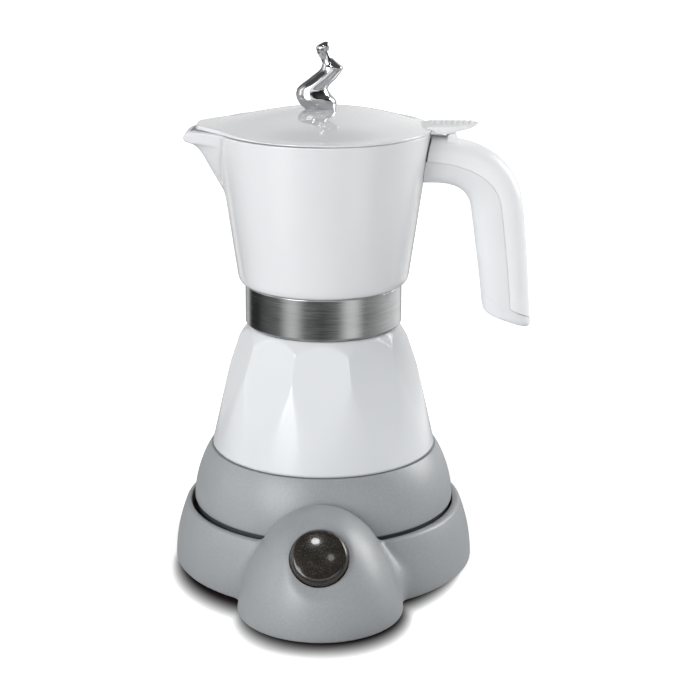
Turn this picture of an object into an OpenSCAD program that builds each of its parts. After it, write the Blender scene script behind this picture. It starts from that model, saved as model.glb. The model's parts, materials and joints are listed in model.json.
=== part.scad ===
// Electric moka pot on its cordless power base, in millimetres.
// The pot's axis is Z and the table is z = 0. The button faces -Y, the handle +X and the spout -X.

/* [Power base] */
// Height of the rim's top edge above the table
rim_h = 30.5; // [28:0.5:34]
// Thickness of the rim at its top edge
rim_wall = 1.9; // [1.6:0.1:2.6]
// How far the foot of the base stands out past the rim
base_flare = 6.4; // [5.4:0.2:8]
// Height of the deck that the pot stands on
deck_h = 16; // [15:0.5:18]
// Wall thickness of the base housing
base_wall = 2.4; // [2:0.1:2.8]
// Thickness of the bottom plate
plate_t = 3; // [2.8:0.1:3.4]
// How far the rubber feet stand out below the housing
foot_drop = 0.8; // [0.5:0.1:1.2]
// Gap between the rim and the pot's skirt
pot_gap = 1.9; // [1.5:0.1:2.6]
// Bore radius of the cord gland
cord_r = 3.6; // [3:0.1:3.8]
// Radius of the round plug in the middle of the deck
plug_r = 11; // [10.6:0.1:12]
// Height of the round plug above the deck
plug_h = 11; // [10:0.5:13]

/* [Button] */
// Distance of the mound's centre outside the recess
mound_out = 4.3; // [3.6:0.1:5.4]
// Radius of the mound at the table
mound_r = 39.6; // [38:0.2:42]
// Height of the mound
mound_h = 51.7; // [49.5:0.1:55]
// Radius of the push button
button_r = 13.4; // [12.4:0.1:14]
// Travel of the push button
button_travel = 3; // [2:0.1:3.4]
// Tilt of the button's axis above the horizontal, in degrees
button_tilt = 40; // [38:1:42]

/* [Skirt and boiler] */
// Radius of the heater skirt
skirt_r = 64.3; // [62:0.1:67]
// Height of the heater skirt
skirt_h = 43; // [41:0.5:46]
// Wall thickness of the skirt
skirt_wall = 2.2; // [1.8:0.1:2.6]
// Radius of the boiler at its bottom edge
boiler_r = 54.9; // [53.5:0.1:57]
// Height of the boiler up to the top of its shoulder
boiler_h = 61.6; // [58:0.2:66]
// Wall thickness of the boiler
boiler_wall = 4; // [3.6:0.1:4.6]
// Radius at which the shoulder begins
shoulder_r = 43.6; // [42.8:0.1:45]
// Height of the shoulder
shoulder_h = 14; // [12:0.5:15]
// Number of flat facets round the boiler
facets = 10; // [8:1:12]
// Tilt of the facets from the vertical, in degrees
facet_tilt = 17.7; // [16.5:0.1:19]
// Height of the threaded neck
neck_h = 11; // [10:0.2:12]
// Travel of the safety valve's stem
valve_travel = 2.5; // [1.5:0.1:3]

/* [Collar and brewing parts] */
// Radius of the steel collar
collar_r = 38; // [37.4:0.1:39]
// Height of the steel collar
collar_h = 20.4; // [19:0.2:23]
// Sheet thickness of the steel collar
collar_wall = 1.2; // [0.8:0.1:1.4]
// Gap between the boiler's shoulder and the collar
collar_gap = 0.8; // [0.5:0.1:1.2]
// Depth of the screw thread
thread_depth = 1; // [0.8:0.1:1.1]
// Depth of the coffee basket
basket_h = 24; // [20:0.5:26]
// Thickness of the rubber gasket
gasket_t = 3; // [2.4:0.1:3.4]

/* [Jug] */
// Radius of the jug's rim
jug_rim_r = 51.5; // [50:0.1:53]
// Radius of the jug just above its rounded foot
jug_foot_r = 41.8; // [40.5:0.1:43]
// Height of the jug
jug_h = 73.8; // [70:0.2:80]
// Wall thickness of the jug
jug_wall = 2.4; // [2:0.1:2.8]
// How far the spout stands out past the rim
spout_out = 15.3; // [13:0.1:18]
// Height of the spout's crease below the rim
spout_drop = 36; // [30:0.5:42]
// Half width of the spout at the rim
spout_half = 21; // [18:0.5:23]
// Height of the chimney above the jug's floor
chimney_h = 46; // [40:1:52]

/* [Lid] */
// Rise of the lid's dome above its edge
dome_h = 7.3; // [6:0.1:9]
// Thickness of the lid's edge
lid_edge = 1.6; // [1.3:0.1:2]
// Wall thickness of the lid's dome
lid_wall = 1.8; // [1.4:0.1:2.2]
// How far the lid's beak stands out past the rim
beak_out = 8.6; // [7:0.1:10]
// Height of the flame-shaped knob
knob_h = 32.2; // [29:0.1:36]
// Distance of the hinge pin outside the rim
hinge_out = 9.6; // [9:0.1:10.2]
// Depth of the hinge pin below the rim
hinge_drop = 3.2; // [2.9:0.1:3.5]
// Radius of the hinge pin
hinge_pin_r = 1.2; // [1:0.1:1.4]
// How far the thumb lever reaches past the hinge pin
lever_reach = 12.3; // [11:0.1:13]

/* [Handle] */
// How far the handle's foot stands out past the rim
handle_reach = 49.2; // [47:0.2:52]
// Height of the handle below the rim
handle_drop = 96; // [90:0.5:102]
// Width of the handle
handle_w = 21; // [19:0.2:23]
// Wall thickness of the handle's shells
handle_wall = 2.4; // [2:0.1:2.8]

/* [Clearances] */
// Gap between pieces that move past each other
run_gap = 0.3; // [0.2:0.05:0.4]
// Gap between pieces that are seated on each other
seat_gap = 0.1; // [0.05:0.01:0.15]

/* [Hidden] */
$fn = 72;

// Heights of the stacked pieces
shell_z = foot_drop;
plate_top = shell_z + plate_t;
deck_under = deck_h - base_wall;
skirt_z = deck_h + run_gap;
skirt_top = skirt_z + skirt_h;
boiler_z = skirt_top + seat_gap;
shoulder_top = boiler_z + boiler_h;
shoulder_z = shoulder_top - shoulder_h;
neck_top = shoulder_top + neck_h;
collar_z = shoulder_top + collar_gap;
collar_top = collar_z + collar_h;
jug_z = collar_top + seat_gap;
rim_z = jug_z + jug_h;
lid_z = rim_z + run_gap;
dome_z = lid_z + lid_edge;
dome_top = dome_z + dome_h;

// Power base
well_r = skirt_r + pot_gap;
rim_r = well_r + rim_wall;
base_r = rim_r + base_flare;
base_slope = base_flare / (rim_h - shell_z);
base_edge_r = 1.2;
rim_edge_r = rim_wall / 2;
mound_y = well_r + mound_out;
mound_steps = 15;
screw_ring_r = 50;
screw_angles = [45, 135, 225, 315];
post_r = 4;
foot_ring_r = 62;
foot_w = 6;
foot_groove = 1;
front_foot_r = 7;
front_foot_y = mound_y + 24;
gland_wall = 1.4;
gland_rim = 1.8;
gland_z = plate_top + cord_r + gland_wall + 0.4;
gland_in = rim_r + 0.4;
gland_out = base_r + 2;

// Screws: head radius, head height and shank radius
screw_head_r = 3;
screw_head_h = 1.5;
screw_shank_r = 1.3;

// Plug and socket: contact rings, seen from the axis outwards
contact_t = 0.5;
pin_bore_r = 4.2;
pin_r = 3;
ring_groove = [6.4, 9];
ring_mid_r = (ring_groove[0] + ring_groove[1]) / 2;
ring_in_r = 6.9;
ring_t = 0.8;
contact_depth = plug_h - 1;
plug_top = deck_h + plug_h;
plug_flange_r = plug_r + 4;
plug_flange_t = 2;
tail_r = 1.2;
tail_drop = 2.5;
contact_z = plug_top - contact_depth;
tail_z = deck_under - plug_flange_t - tail_drop;
socket_gap = 0.6;
socket_in_r = plug_r + socket_gap;
socket_wall = 3;
socket_r = socket_in_r + socket_wall;
socket_roof_z = plug_top + 1.2;
socket_top = socket_roof_z + 3.6;
socket_flange_r = socket_r + 8;
socket_flange_t = 2;
pot_tail_top = socket_top + 4;
pin_low_z = contact_z + 1.5;

// Button, along its own axis with 0 on the mound's surface
button_angle = 47;
button_y = mound_y + mound_r * cos(button_angle);
button_z = shell_z + mound_h * sin(button_angle);
button_gap = 0.4;
seat_depth = 3.2;
seat_r = button_r + 3.8;
button_bore_r = button_r + button_gap;
lens_wall = 1.8;
lens_lip = 1;
lens_dome_h = 3.6;
lens_depth = 9.3;
guide_wall = 1.8;
guide_end = -seat_depth - lens_depth + run_gap;
holder_t = 2;
holder_r = button_bore_r + guide_wall - 0.4;
holder_top = -seat_depth - lens_depth - seat_gap;
holder_under = holder_top - holder_t;
holder_ring_h = 5;
column_r = 2.4;
column_len = 4.4;
switch_w = 10;
switch_h = 8;
switch_top = holder_under - column_len - button_travel - run_gap;
plunger_r = 1.8;
plunger_len = 5.4;
plunger_top = holder_under - column_len - seat_gap;
board_z = switch_top - switch_h - seat_gap;
board_t = 1.6;
board_back = board_z - board_t;
board_half_w = 19;
board_post_x = button_bore_r + guide_wall;
board_post_y = -12;
board_post_r = 3;
board_screw_len = 8;
board_low = (plate_top + 1.2 - button_z - board_back * sin(button_tilt)) / cos(button_tilt);
board_high = (button_y - rim_r - 1 + board_back * cos(button_tilt)) / sin(button_tilt);
lamp_x = 9;
lamp_r = 2.2;
lamp_top = holder_under - button_travel - 1.2;
spring_r = 4;
spring_wire = 0.4;
spring_turns = 4;

// Skirt and what it holds
skirt_in_r = skirt_r - skirt_wall;
skirt_top_r = boiler_r + 0.5;
skirt_side_z = skirt_top - 25.3;
ledge_r = boiler_r - 8.4;
floor_t = 2.4;
floor_top = skirt_z + floor_t;
floor_screws_n = 3;
floor_post_r = 5;
floor_post_ring = skirt_in_r - floor_post_r + 0.8;
floor_post_h = 12;
boiler_screw_ring = (ledge_r + boiler_r - 0.6) / 2 - 0.6;
boiler_screw_n = 3;
boiler_screw_depth = 2.6;
heat_plate_t = 5;
heat_plate_r = ledge_r - 2.5;
heat_plate_top = boiler_z - seat_gap;
heat_plate_z = heat_plate_top - heat_plate_t;
element_ring_r = heat_plate_r - 10;
element_r = 3.2;
element_z = heat_plate_z - seat_gap - element_r;
element_angle = 300;
element_tail = 9;
element_pin_r = 1.5;
element_start_angle = (360 - element_angle) / 2;
element_pin_angle = element_start_angle + 6;
thermostat_r = 8;
thermostat_h = 7;
fuse_r = 2.2;
fuse_len = 12;
fuse_x = thermostat_r + fuse_r + 6;
lead_r = 1.1;
lead_end = 1;

// Boiler
floor_z = boiler_z + boiler_wall;
facet_p = shoulder_r * cos(180 / facets);
facet_wall = 2.6;
inside_z = floor_z + 3;
inside_r = min(boiler_r - boiler_wall, facet_at(inside_z) - facet_wall);
casting_r = collar_r - collar_wall - seat_gap;
casting_wall = 2.7;
thread_root_r = casting_r - casting_wall;
thread_crest_r = thread_root_r - thread_depth;
neck_crest_r = thread_crest_r - run_gap;
neck_core_r = neck_crest_r - thread_depth;
neck_wall = 3.2;
neck_in_r = neck_core_r - neck_wall;
thread_pitch = 4;
valve_z = shoulder_z - 7;
valve_wall_y = facet_at(valve_z);
valve_boss_r = 7;
valve_boss_y = valve_wall_y + 2.4;
valve_r = 4;
valve_bore_r = 2.9;
valve_in_y = valve_boss_y - 9.5;
valve_nut_h = 4.2;
valve_out_y = valve_boss_y + valve_nut_h;
valve_chamber = valve_travel + 6.1;
stem_r = 1;
stem_head_r = valve_bore_r - run_gap;
stem_head_t = 1.2;
stem_head_y = valve_in_y + 0.6;
stem_proud = 1.6;
valve_spring_turns = 5;
valve_spring_wire = 0.25;

// Brewing parts
funnel_flange_t = 1;
funnel_z = neck_top + run_gap;
funnel_top = funnel_z + funnel_flange_t;
funnel_flange_r = neck_core_r - 0.5;
basket_r = neck_in_r - 2 * run_gap;
basket_wall = 0.8;
basket_floor_z = funnel_z - basket_h;
cone_drop = 10;
funnel_stem_r = 4.6;
funnel_stem_z = floor_z + 5;
sieve_r = 1.1;
gasket_z = funnel_top + run_gap;
gasket_top = gasket_z + gasket_t;
filter_r = neck_in_r - 2.2;
gasket_in_r = filter_r + seat_gap;
gasket_r = thread_crest_r - run_gap;
filter_t = 1.2;
filter_z = gasket_z + 0.9;
ceiling_z = gasket_top + run_gap;
chimney_r = 8;
chimney_in_r = 4.4;
chimney_top_r = 6;
chimney_flange_r = 10.4;
chimney_flange_t = 1.5;
chimney_flange_z = ceiling_z + 0.2;
casting_low = collar_z + 0.4;

// Jug
jug_slope = (jug_rim_r - jug_foot_r) / (jug_h - 6);
jug_floor_t = 2.8;
jug_floor = jug_z + jug_floor_t;
jug_foot_in = collar_r + 0.6;
jug_turn_z = jug_z + 6;
seal_t = 1.4;
seal_r = 11.4;
nut_z = jug_floor + seal_t + 2 * seat_gap;
nut_h = 4.4;
nut_r = 12.6;
chimney_top = jug_floor + chimney_h;
cap_h = 9;
cap_wall = 1.4;
spout_tip_x = jug_rim_r + spout_out;
spout_tip_half = 3.4;
spout_skin = 1.9;
lip_r = 1.5;

// Lid
lid_r = jug_rim_r + 0.2;
lid_ring_r = jug_rim_r - jug_wall - 1.1;
lid_ring_t = 1.6;
lid_ring_h = 3;
beak_x = jug_rim_r + beak_out;
beak_half = 7;
beak_root = 23;
hinge_x = jug_rim_r + hinge_out;
hinge_z = rim_z - hinge_drop;
hinge_lug_r = hinge_pin_r + 1.2;
hinge_fit = 0.06;
lever_lug_half = 4.4;
handle_lug_in = lever_lug_half + run_gap;
handle_lug_out = 8;
lever_x = hinge_x + lever_reach;
lever_half = 8.6;
lever_top = rim_z + 3.3;
lever_depth = 5.9;
lever_tip_t = 0.6;
lever_ribs = 6;
lever_rib_r = 0.8;
lever_rib_step = 2.7;
tab_half = 4;
tab_out = 5.4;
knob_z = dome_top + seat_gap;
knob_sides = 20;
knob_rings = 32;
knob_lobes = 3;
knob_twist_angle = 160;
knob_screw_r = 1.7;
knob_screw_len = 9;

// Handle: the outer face, the seam between the shells and the inner face, each as two cubic curves
// in the plane of the spout and the handle, measured out from the rim and down from it
handle_start = -6.5;
handle_end_z = handle_drop - 4.7;
handle_outer = [
    [[handle_start, 2.4], [20, 3], [38.5, 13], [43, 34]],
    [[43, 34], [45.4, 51], [47.4, 73], [handle_reach, handle_end_z]]
];
handle_seam = [
    [[handle_start, 13.8], [14.5, 13.6], [31, 21], [33.1, 35.2]],
    [[33.1, 35.2], [35, 48], [37.3, 68], [handle_reach - 10.3, handle_end_z - 4.6]]
];
handle_inner = [
    [[handle_start, 28], [7, 27.4], [17, 28], [19.1, 36.5]],
    [[19.1, 36.5], [21.1, 50], [23.4, 66], [handle_reach - 24.1, handle_end_z - 10.6]]
];
handle_steps = 10;
section_steps = 10;
section_power = 0.78;
seam_gap = 0.1;
cover_slit = 0.9;
cover_end = 1.985;
foot_start = 1.96;
lug_half = 4.4;
lug_low = rim_z - 23.6;
lug_high = rim_z - 16.6;
lug_x = jug_rim_r + 5.5;
web_x = lug_x + 2 * seat_gap;
web_t = 2.6;
handle_screw_z = (lug_low + lug_high) / 2;

// Points and curves

function arc(cx, cy, r, a0, a1, n = 8) =
    [for (i = [0 : n]) let (a = a0 + (a1 - a0) * i / n) [cx + r * cos(a), cy + r * sin(a)]];

function bezier(p, t) =
    let (u = 1 - t)
    u * u * u * p[0] + 3 * u * u * t * p[1] + 3 * u * t * t * p[2] + t * t * t * p[3];

function curve(p, n = 12) = [for (i = [0 : n]) bezier(p, i / n)];

function unit(v) = v / norm(v);

// Value of a smooth curve through rows of numbers, at a place that counts rows from 0
function through_rows(rows, s) =
    let (last = len(rows) - 1,
         i = min(floor(s), last - 1),
         t = s - i,
         a = rows[max(i - 1, 0)],
         b = rows[i],
         c = rows[i + 1],
         d = rows[min(i + 2, last)])
    0.5 * (2 * b + (c - a) * t + (2 * a - 5 * b + 4 * c - d) * t * t + (3 * b - a - 3 * c + d) * t * t * t);

// Shared shapes

module revolve(points) {
    rotate_extrude() polygon(points);
}

module disc(r, z0, z1) {
    translate([0, 0, z0]) cylinder(r = r, h = z1 - z0);
}

module ring(r_in, r_out, z0, z1) {
    revolve([[r_in, z0], [r_out, z0], [r_out, z1], [r_in, z1]]);
}

// Rod along Y
module rod_y(r, y0, y1) {
    translate([0, y0, 0]) rotate([-90, 0, 0]) cylinder(r = r, h = y1 - y0);
}

// Closed skin over rings of points, with flat ends
module skin(rings) {
    sides = len(rings[0]);
    last = (len(rings) - 1) * sides;
    walls = [
        for (i = [0 : len(rings) - 2], j = [0 : sides - 1])
            let (a = i * sides + j, b = i * sides + (j + 1) % sides)
            each [[a, b + sides, b], [a, a + sides, b + sides]]
    ];
    ends = [for (j = [1 : sides - 2]) each [[0, j, j + 1], [last, last + j + 1, last + j]]];
    polyhedron([for (r = rings) each r], concat(walls, ends));
}

// Closed skin over rings that run out along one side and back along the other
module channel_skin(rings) {
    sides = len(rings[0]);
    half = sides / 2;
    last = (len(rings) - 1) * sides;
    walls = [
        for (i = [0 : len(rings) - 2], j = [0 : sides - 1])
            let (a = i * sides + j, b = i * sides + (j + 1) % sides)
            each [[a, b + sides, b], [a, a + sides, b + sides]]
    ];
    ends = [
        for (j = [0 : half - 2])
            let (a = j, b = j + 1, c = sides - 2 - j, d = sides - 1 - j)
            each [[a, b, c], [a, c, d], [last + a, last + c, last + b], [last + a, last + d, last + c]]
    ];
    polyhedron([for (r = rings) each r], concat(walls, ends));
}

// Round tube along points; side is a direction that the route never takes
module tube(points, r, side, sides = 8) {
    n = len(points) - 1;
    skin([
        for (i = [0 : n])
            let (t = unit(points[min(i + 1, n)] - points[max(i - 1, 0)]),
                 u = unit(cross(t, side)),
                 v = cross(t, u))
            [for (j = [0 : sides - 1]) let (a = 360 * j / sides) points[i] + r * (cos(a) * u + sin(a) * v)]
    ]);
}

// Coil spring along Z from z0 to z1, over its wire's outside
module coil(r, wire, turns, z0, z1) {
    steps = 8 * turns;
    rise = z1 - z0 - 2 * wire;
    tube([
        for (i = [0 : steps])
            let (a = 360 * turns * i / steps)
            [r * cos(a), r * sin(a), z0 + wire + rise * i / steps]
    ], wire, [0, 0, 1], 6);
}

// Screw with its head's underside at z = 0, its shank upwards
module screw(length) {
    disc(screw_head_r, -screw_head_h, 0);
    disc(screw_shank_r, -0.01, length);
}

module at_button() {
    translate([0, -button_y, button_z]) rotate([90 - button_tilt, 0, 0]) children();
}

module around(n, r, a0 = 90) {
    for (i = [0 : n - 1]) rotate([0, 0, a0 + 360 * i / n]) translate([r, 0, 0]) children();
}

// Power base

module ring_solid(grow = 0) {
    revolve(concat(
        [[0, shell_z]],
        arc(base_r - base_edge_r, shell_z + base_edge_r, base_edge_r + grow, -90, 12, 6),
        arc(rim_r - rim_edge_r, rim_h - rim_edge_r, rim_edge_r + grow, 12, 90, 6),
        [[0, rim_h + grow]]
    ));
}

module mound_solid(inset = 0, below = 0) {
    translate([0, -mound_y, 0]) revolve(concat(
        [[0, shell_z - below], [mound_r - inset, shell_z - below]],
        [for (i = [0 : mound_steps]) let (a = 90 * i / mound_steps)
            [(mound_r - inset) * cos(a), shell_z + (mound_h - inset) * sin(a)]]
    ));
}

module base_cavity() {
    meet_z = shell_z + (base_flare - base_wall) / base_slope;
    revolve([
        [0, shell_z - 1],
        [base_r - base_wall, shell_z - 1],
        [base_r - base_wall, shell_z],
        [rim_r, meet_z],
        [rim_r, deck_under],
        [0, deck_under]
    ]);
    difference() {
        mound_solid(base_wall, 1);
        disc(rim_r, deck_under, mound_h + 20);
    }
}

// Tube that guides the button and posts that carry the circuit board, trimmed to the mound
module button_works() {
    intersection() {
        mound_solid(base_wall / 2);
        at_button() {
            ring(button_bore_r, button_bore_r + guide_wall, guide_end, -seat_depth);
            for (side = [-1, 1]) translate([side * board_post_x, board_post_y, 0])
                disc(board_post_r, board_z + seat_gap, 0);
        }
    }
}

module base_shell() color("#9aa0a4") difference() {
    union() {
        difference() {
            union() {
                ring_solid();
                mound_solid();
            }
            base_cavity();
        }
        button_works();
        for (a = screw_angles) rotate([0, 0, a]) translate([screw_ring_r, 0, 0])
            disc(post_r, plate_top + seat_gap, deck_under + 0.5);
    }
    disc(well_r, deck_h, mound_h + 20);
    disc(plug_r + seat_gap, deck_under - 1, deck_h + 1);
    at_button() {
        disc(button_bore_r, guide_end - 1, 10);
        disc(seat_r, -seat_depth, 10);
        for (side = [-1, 1]) translate([side * board_post_x, board_post_y, 0])
            disc(screw_shank_r + seat_gap, board_z - 1, board_z + board_screw_len + 1);
    }
    for (a = screw_angles) rotate([0, 0, a]) translate([screw_ring_r, 0, 0])
        disc(screw_shank_r + seat_gap, plate_top - 1, deck_under - 0.6);
    translate([0, 0, gland_z]) rod_y(cord_r + gland_wall + seat_gap, gland_in - 2, gland_out + 5);
}

module base_plate() color("#4c5154") {
    plate_r = base_r - base_wall - base_slope * plate_t - seat_gap;
    difference() {
        translate([0, 0, shell_z]) linear_extrude(plate_t) union() {
            circle(plate_r);
            translate([0, -mound_y]) circle(mound_r - base_wall - 3 * seat_gap);
        }
        for (a = screw_angles) rotate([0, 0, a]) translate([screw_ring_r, 0, 0]) {
            disc(screw_shank_r + 0.3, 0, plate_top + 1);
            disc(screw_head_r + 0.3, 0, shell_z + screw_head_h + 2 * seat_gap);
        }
        ring(foot_ring_r - foot_w / 2 - seat_gap, foot_ring_r + foot_w / 2 + seat_gap, 0,
            shell_z + foot_groove);
        translate([0, -front_foot_y, 0]) disc(front_foot_r + seat_gap, 0, shell_z + foot_groove);
    }
}

module foot_ring() color("#2b2d2f") {
    ring(foot_ring_r - foot_w / 2, foot_ring_r + foot_w / 2, 0, shell_z + foot_groove - seat_gap);
}

module front_foot() color("#2b2d2f") {
    translate([0, -front_foot_y, 0]) disc(front_foot_r, 0, shell_z + foot_groove - seat_gap);
}

module plate_screws() color("silver") {
    for (a = screw_angles) rotate([0, 0, a]) translate([screw_ring_r, 0, shell_z + screw_head_h + seat_gap])
        screw(deck_under - 1.2 - shell_z - screw_head_h);
}

module cord_gland() color("#2b2d2f") translate([0, 0, gland_z]) difference() {
    union() {
        rod_y(cord_r + gland_wall, gland_in, base_r);
        difference() {
            rod_y(cord_r + gland_wall + gland_rim, base_r - 4, gland_out);
            translate([0, 0, -gland_z]) ring_solid(seat_gap);
        }
    }
    rod_y(cord_r, gland_in - 1, gland_out + 1);
}

module base_connector() color("#2b2d2f") difference() {
    union() {
        disc(plug_r, deck_under - seat_gap, plug_top);
        disc(plug_flange_r, deck_under - seat_gap - plug_flange_t, deck_under - seat_gap);
    }
    disc(pin_bore_r, contact_z, plug_top + 1);
    ring(ring_groove[0], ring_groove[1], contact_z, plug_top + 1);
    for (x = [0, ring_mid_r]) translate([x, 0, 0]) disc(tail_r + seat_gap, 0, contact_z + 0.5);
}

module base_contacts() color("#c9a24a") {
    low = contact_z + seat_gap;
    high = plug_top - 1;
    difference() {
        disc(pin_bore_r - seat_gap, low, high);
        disc(pin_bore_r - contact_t, low + contact_t, high + 1);
    }
    ring(ring_groove[1] - seat_gap - contact_t, ring_groove[1] - seat_gap, low, high);
    ring(ring_groove[0] + seat_gap, ring_groove[1] - seat_gap, low, low + contact_t);
    for (x = [0, ring_mid_r]) translate([x, 0, 0]) disc(tail_r, tail_z, low + contact_t / 2);
}

module circuit_board() color("#3f6b4a") at_button() difference() {
    translate([-board_half_w, board_low, board_back])
        cube([2 * board_half_w, board_high - board_low, board_t]);
    for (side = [-1, 1]) translate([side * board_post_x, board_post_y, 0])
        disc(screw_shank_r + 0.2, board_back - 1, board_z + 1);
}

module board_screws() color("silver") at_button() {
    for (side = [-1, 1]) translate([side * board_post_x, board_post_y, board_back - seat_gap])
        screw(board_screw_len);
}

module switch_body() color("#2b2d2f") at_button() difference() {
    translate([-switch_w / 2, -switch_w / 2, board_z + seat_gap]) cube([switch_w, switch_w, switch_h]);
    disc(plunger_r + run_gap, plunger_top - plunger_len - button_travel - 0.4, switch_top + 1);
}

module signal_lamp() color("#d98a3a") at_button() translate([lamp_x, 0, 0]) {
    disc(lamp_r, board_z + seat_gap, lamp_top - lamp_r);
    translate([0, 0, lamp_top - lamp_r]) sphere(r = lamp_r);
}

module button_spring() color("silver") at_button() {
    coil(spring_r, spring_wire, spring_turns, switch_top + seat_gap, holder_under - seat_gap);
}

// Two leads from the circuit board to the plug's contacts
module base_leads() color("#7a4a3a") {
    lead_z = tail_z + lead_r;
    board_y = button_y + board_back * cos(button_tilt)
        - sin(button_tilt) * (lead_z - button_z - board_back * sin(button_tilt)) / cos(button_tilt);
    for (x = [0, ring_mid_r]) {
        route = [
            [x, -board_y + lead_r, lead_z],
            [x + 3, -board_y + 25, lead_z],
            [x + 3, -tail_r - 25, lead_z],
            [x, -tail_r - 2 * seat_gap, lead_z]
        ];
        tube(curve(route, 10), lead_r, [0, 0, 1]);
    }
}

// Push button

module button_lens() color("#4a3f3c") at_button() {
    low = -seat_depth - lens_depth;
    edge = -seat_depth + lens_lip;
    sphere_r = (button_r * button_r + lens_dome_h * lens_dome_h) / (2 * lens_dome_h);
    half_angle = asin(button_r / sphere_r);
    in_r = button_r - lens_wall;
    difference() {
        revolve(concat(
            [[0, low], [button_r, low]],
            arc(0, edge + lens_dome_h - sphere_r, sphere_r, 90 - half_angle, 90, 10)
        ));
        disc(in_r, low - 1, edge - 0.4);
    }
}

module button_holder() color("#d9d4cc") at_button() difference() {
    union() {
        disc(holder_r, holder_under, holder_top);
        ring(button_r - 2 * lens_wall - seat_gap, button_r - lens_wall - seat_gap, holder_top - 0.1,
            holder_top + holder_ring_h);
        disc(column_r, holder_under - column_len, holder_top);
    }
    translate([lamp_x - 1, 0, 0]) disc(lamp_r - 0.2, holder_under - 1, holder_top + 1);
}

module switch_plunger() color("#c8c8c8") at_button() {
    disc(plunger_r, plunger_top - plunger_len, plunger_top);
}

// Heater skirt

module skirt_outline(inset, low) {
    curve_pts = curve([
        [skirt_r - inset, skirt_side_z],
        [skirt_r - inset - 0.3, skirt_side_z + 7 - inset / 3],
        [skirt_top_r - inset + 5.6, skirt_top - 8.3 - inset],
        [skirt_top_r - inset / 2, skirt_top - inset]
    ]);
    polygon(concat([[0, low], [skirt_r - inset, low]], curve_pts, [[0, skirt_top - inset]]));
}

module skirt() color("#9aa0a4") difference() {
    union() {
        difference() {
            rotate_extrude() skirt_outline(0, skirt_z);
            rotate_extrude() skirt_outline(skirt_wall, skirt_z - 1);
            disc(ledge_r, skirt_top - skirt_wall - 1, skirt_top + 1);
        }
        around(floor_screws_n, floor_post_ring)
            disc(floor_post_r, floor_top + seat_gap, floor_top + floor_post_h);
    }
    around(floor_screws_n, floor_post_ring)
        disc(screw_shank_r + seat_gap, floor_top, floor_top + floor_post_h - 2);
    around(boiler_screw_n, boiler_screw_ring)
        disc(screw_shank_r + 0.3, skirt_top - skirt_wall - 1, skirt_top + 1);
}

module skirt_floor() color("#4c5154") difference() {
    disc(skirt_in_r - seat_gap, skirt_z, floor_top);
    disc(socket_r + seat_gap, skirt_z - 1, floor_top + 1);
    around(floor_screws_n, floor_post_ring) {
        disc(screw_shank_r + 0.3, skirt_z - 1, floor_top + 1);
        disc(screw_head_r + 0.3, skirt_z - 1, skirt_z + screw_head_h + 2 * seat_gap);
    }
}

module floor_screws() color("silver") {
    around(floor_screws_n, floor_post_ring) translate([0, 0, skirt_z + screw_head_h + seat_gap])
        screw(floor_post_h - 3);
}

module pot_connector() color("#2b2d2f") difference() {
    union() {
        disc(socket_r, skirt_z, socket_top);
        disc(socket_flange_r, floor_top + seat_gap, floor_top + seat_gap + socket_flange_t);
    }
    disc(socket_in_r, skirt_z - 1, socket_roof_z);
    for (x = [0, ring_in_r + ring_t / 2]) translate([x, 0, 0])
        disc(tail_r + seat_gap, socket_roof_z - 1, socket_top + 1);
}

module pot_contacts() color("#c9a24a") {
    roof = socket_roof_z - seat_gap;
    disc(pin_r, pin_low_z, roof);
    ring(ring_in_r, ring_in_r + ring_t, pin_low_z, roof);
    ring(ring_in_r - 1, ring_in_r + ring_t + 1, roof - 1, roof);
    for (x = [0, ring_in_r + ring_t / 2]) translate([x, 0, 0]) disc(tail_r, roof - 0.5, pot_tail_top);
}

module boiler_screws() color("silver") {
    around(boiler_screw_n, boiler_screw_ring) translate([0, 0, skirt_top - skirt_wall - seat_gap])
        screw(skirt_wall + boiler_screw_depth - 0.2);
}

module heating_plate() color("#b9bcbe") {
    disc(heat_plate_r, heat_plate_z, heat_plate_top);
}

module heating_element() color("#8d8f91") {
    translate([0, 0, element_z]) rotate([0, 0, element_start_angle]) rotate_extrude(angle = element_angle)
        translate([element_ring_r, 0]) circle(element_r);
    for (side = [-1, 1]) rotate([0, 0, side * element_pin_angle]) translate([element_ring_r, 0, 0])
        disc(element_pin_r, element_z - element_tail, element_z);
}

module thermostat() color("#d8d4c8") {
    high = heat_plate_z - seat_gap;
    disc(thermostat_r, high - 2, high);
    disc(thermostat_r - 1.2, high - thermostat_h, high - 1);
}

module thermal_fuse() color("#d8d4c8") {
    translate([fuse_x, -fuse_len / 2, heat_plate_z - seat_gap - fuse_r]) rotate([-90, 0, 0])
        cylinder(r = fuse_r, h = fuse_len);
}

// Two leads from the socket's contacts up to the heating element's pins
module pot_leads() color("#c8bfae") {
    foot_z = pot_tail_top + seat_gap;
    pin_z = element_z - element_tail - seat_gap;
    for (side = [-1, 1]) {
        from = [side > 0 ? ring_in_r + ring_t / 2 : 0, 0, foot_z];
        to = [element_ring_r * cos(element_pin_angle), side * element_ring_r * sin(element_pin_angle), pin_z];
        up = [0, 0, lead_end];
        route = [from + up, from + 6 * up, to - 9 * up, to - up];
        tube(concat([from], curve(route, 8), [to]), lead_r, cross(to - from, up));
    }
}

// Boiler and safety valve

// Outline of a threaded neck or nut: ridges one pitch apart on a plain wall
function thread_points(core, crest, low, high) =
    let (n = floor((high - low) / thread_pitch), depth = crest - core)
    [for (i = [0 : n - 1]) let (z = low + i * thread_pitch)
        each [[core, z + 0.8], [crest, z + 0.8 + abs(depth)], [crest, z + 1.4 + abs(depth)],
            [core, z + 1.4 + 2 * abs(depth)]]];

// Distance of the facets' planes from the axis at a height
function facet_at(z) = facet_p + (shoulder_z - z) * tan(facet_tilt);

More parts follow.
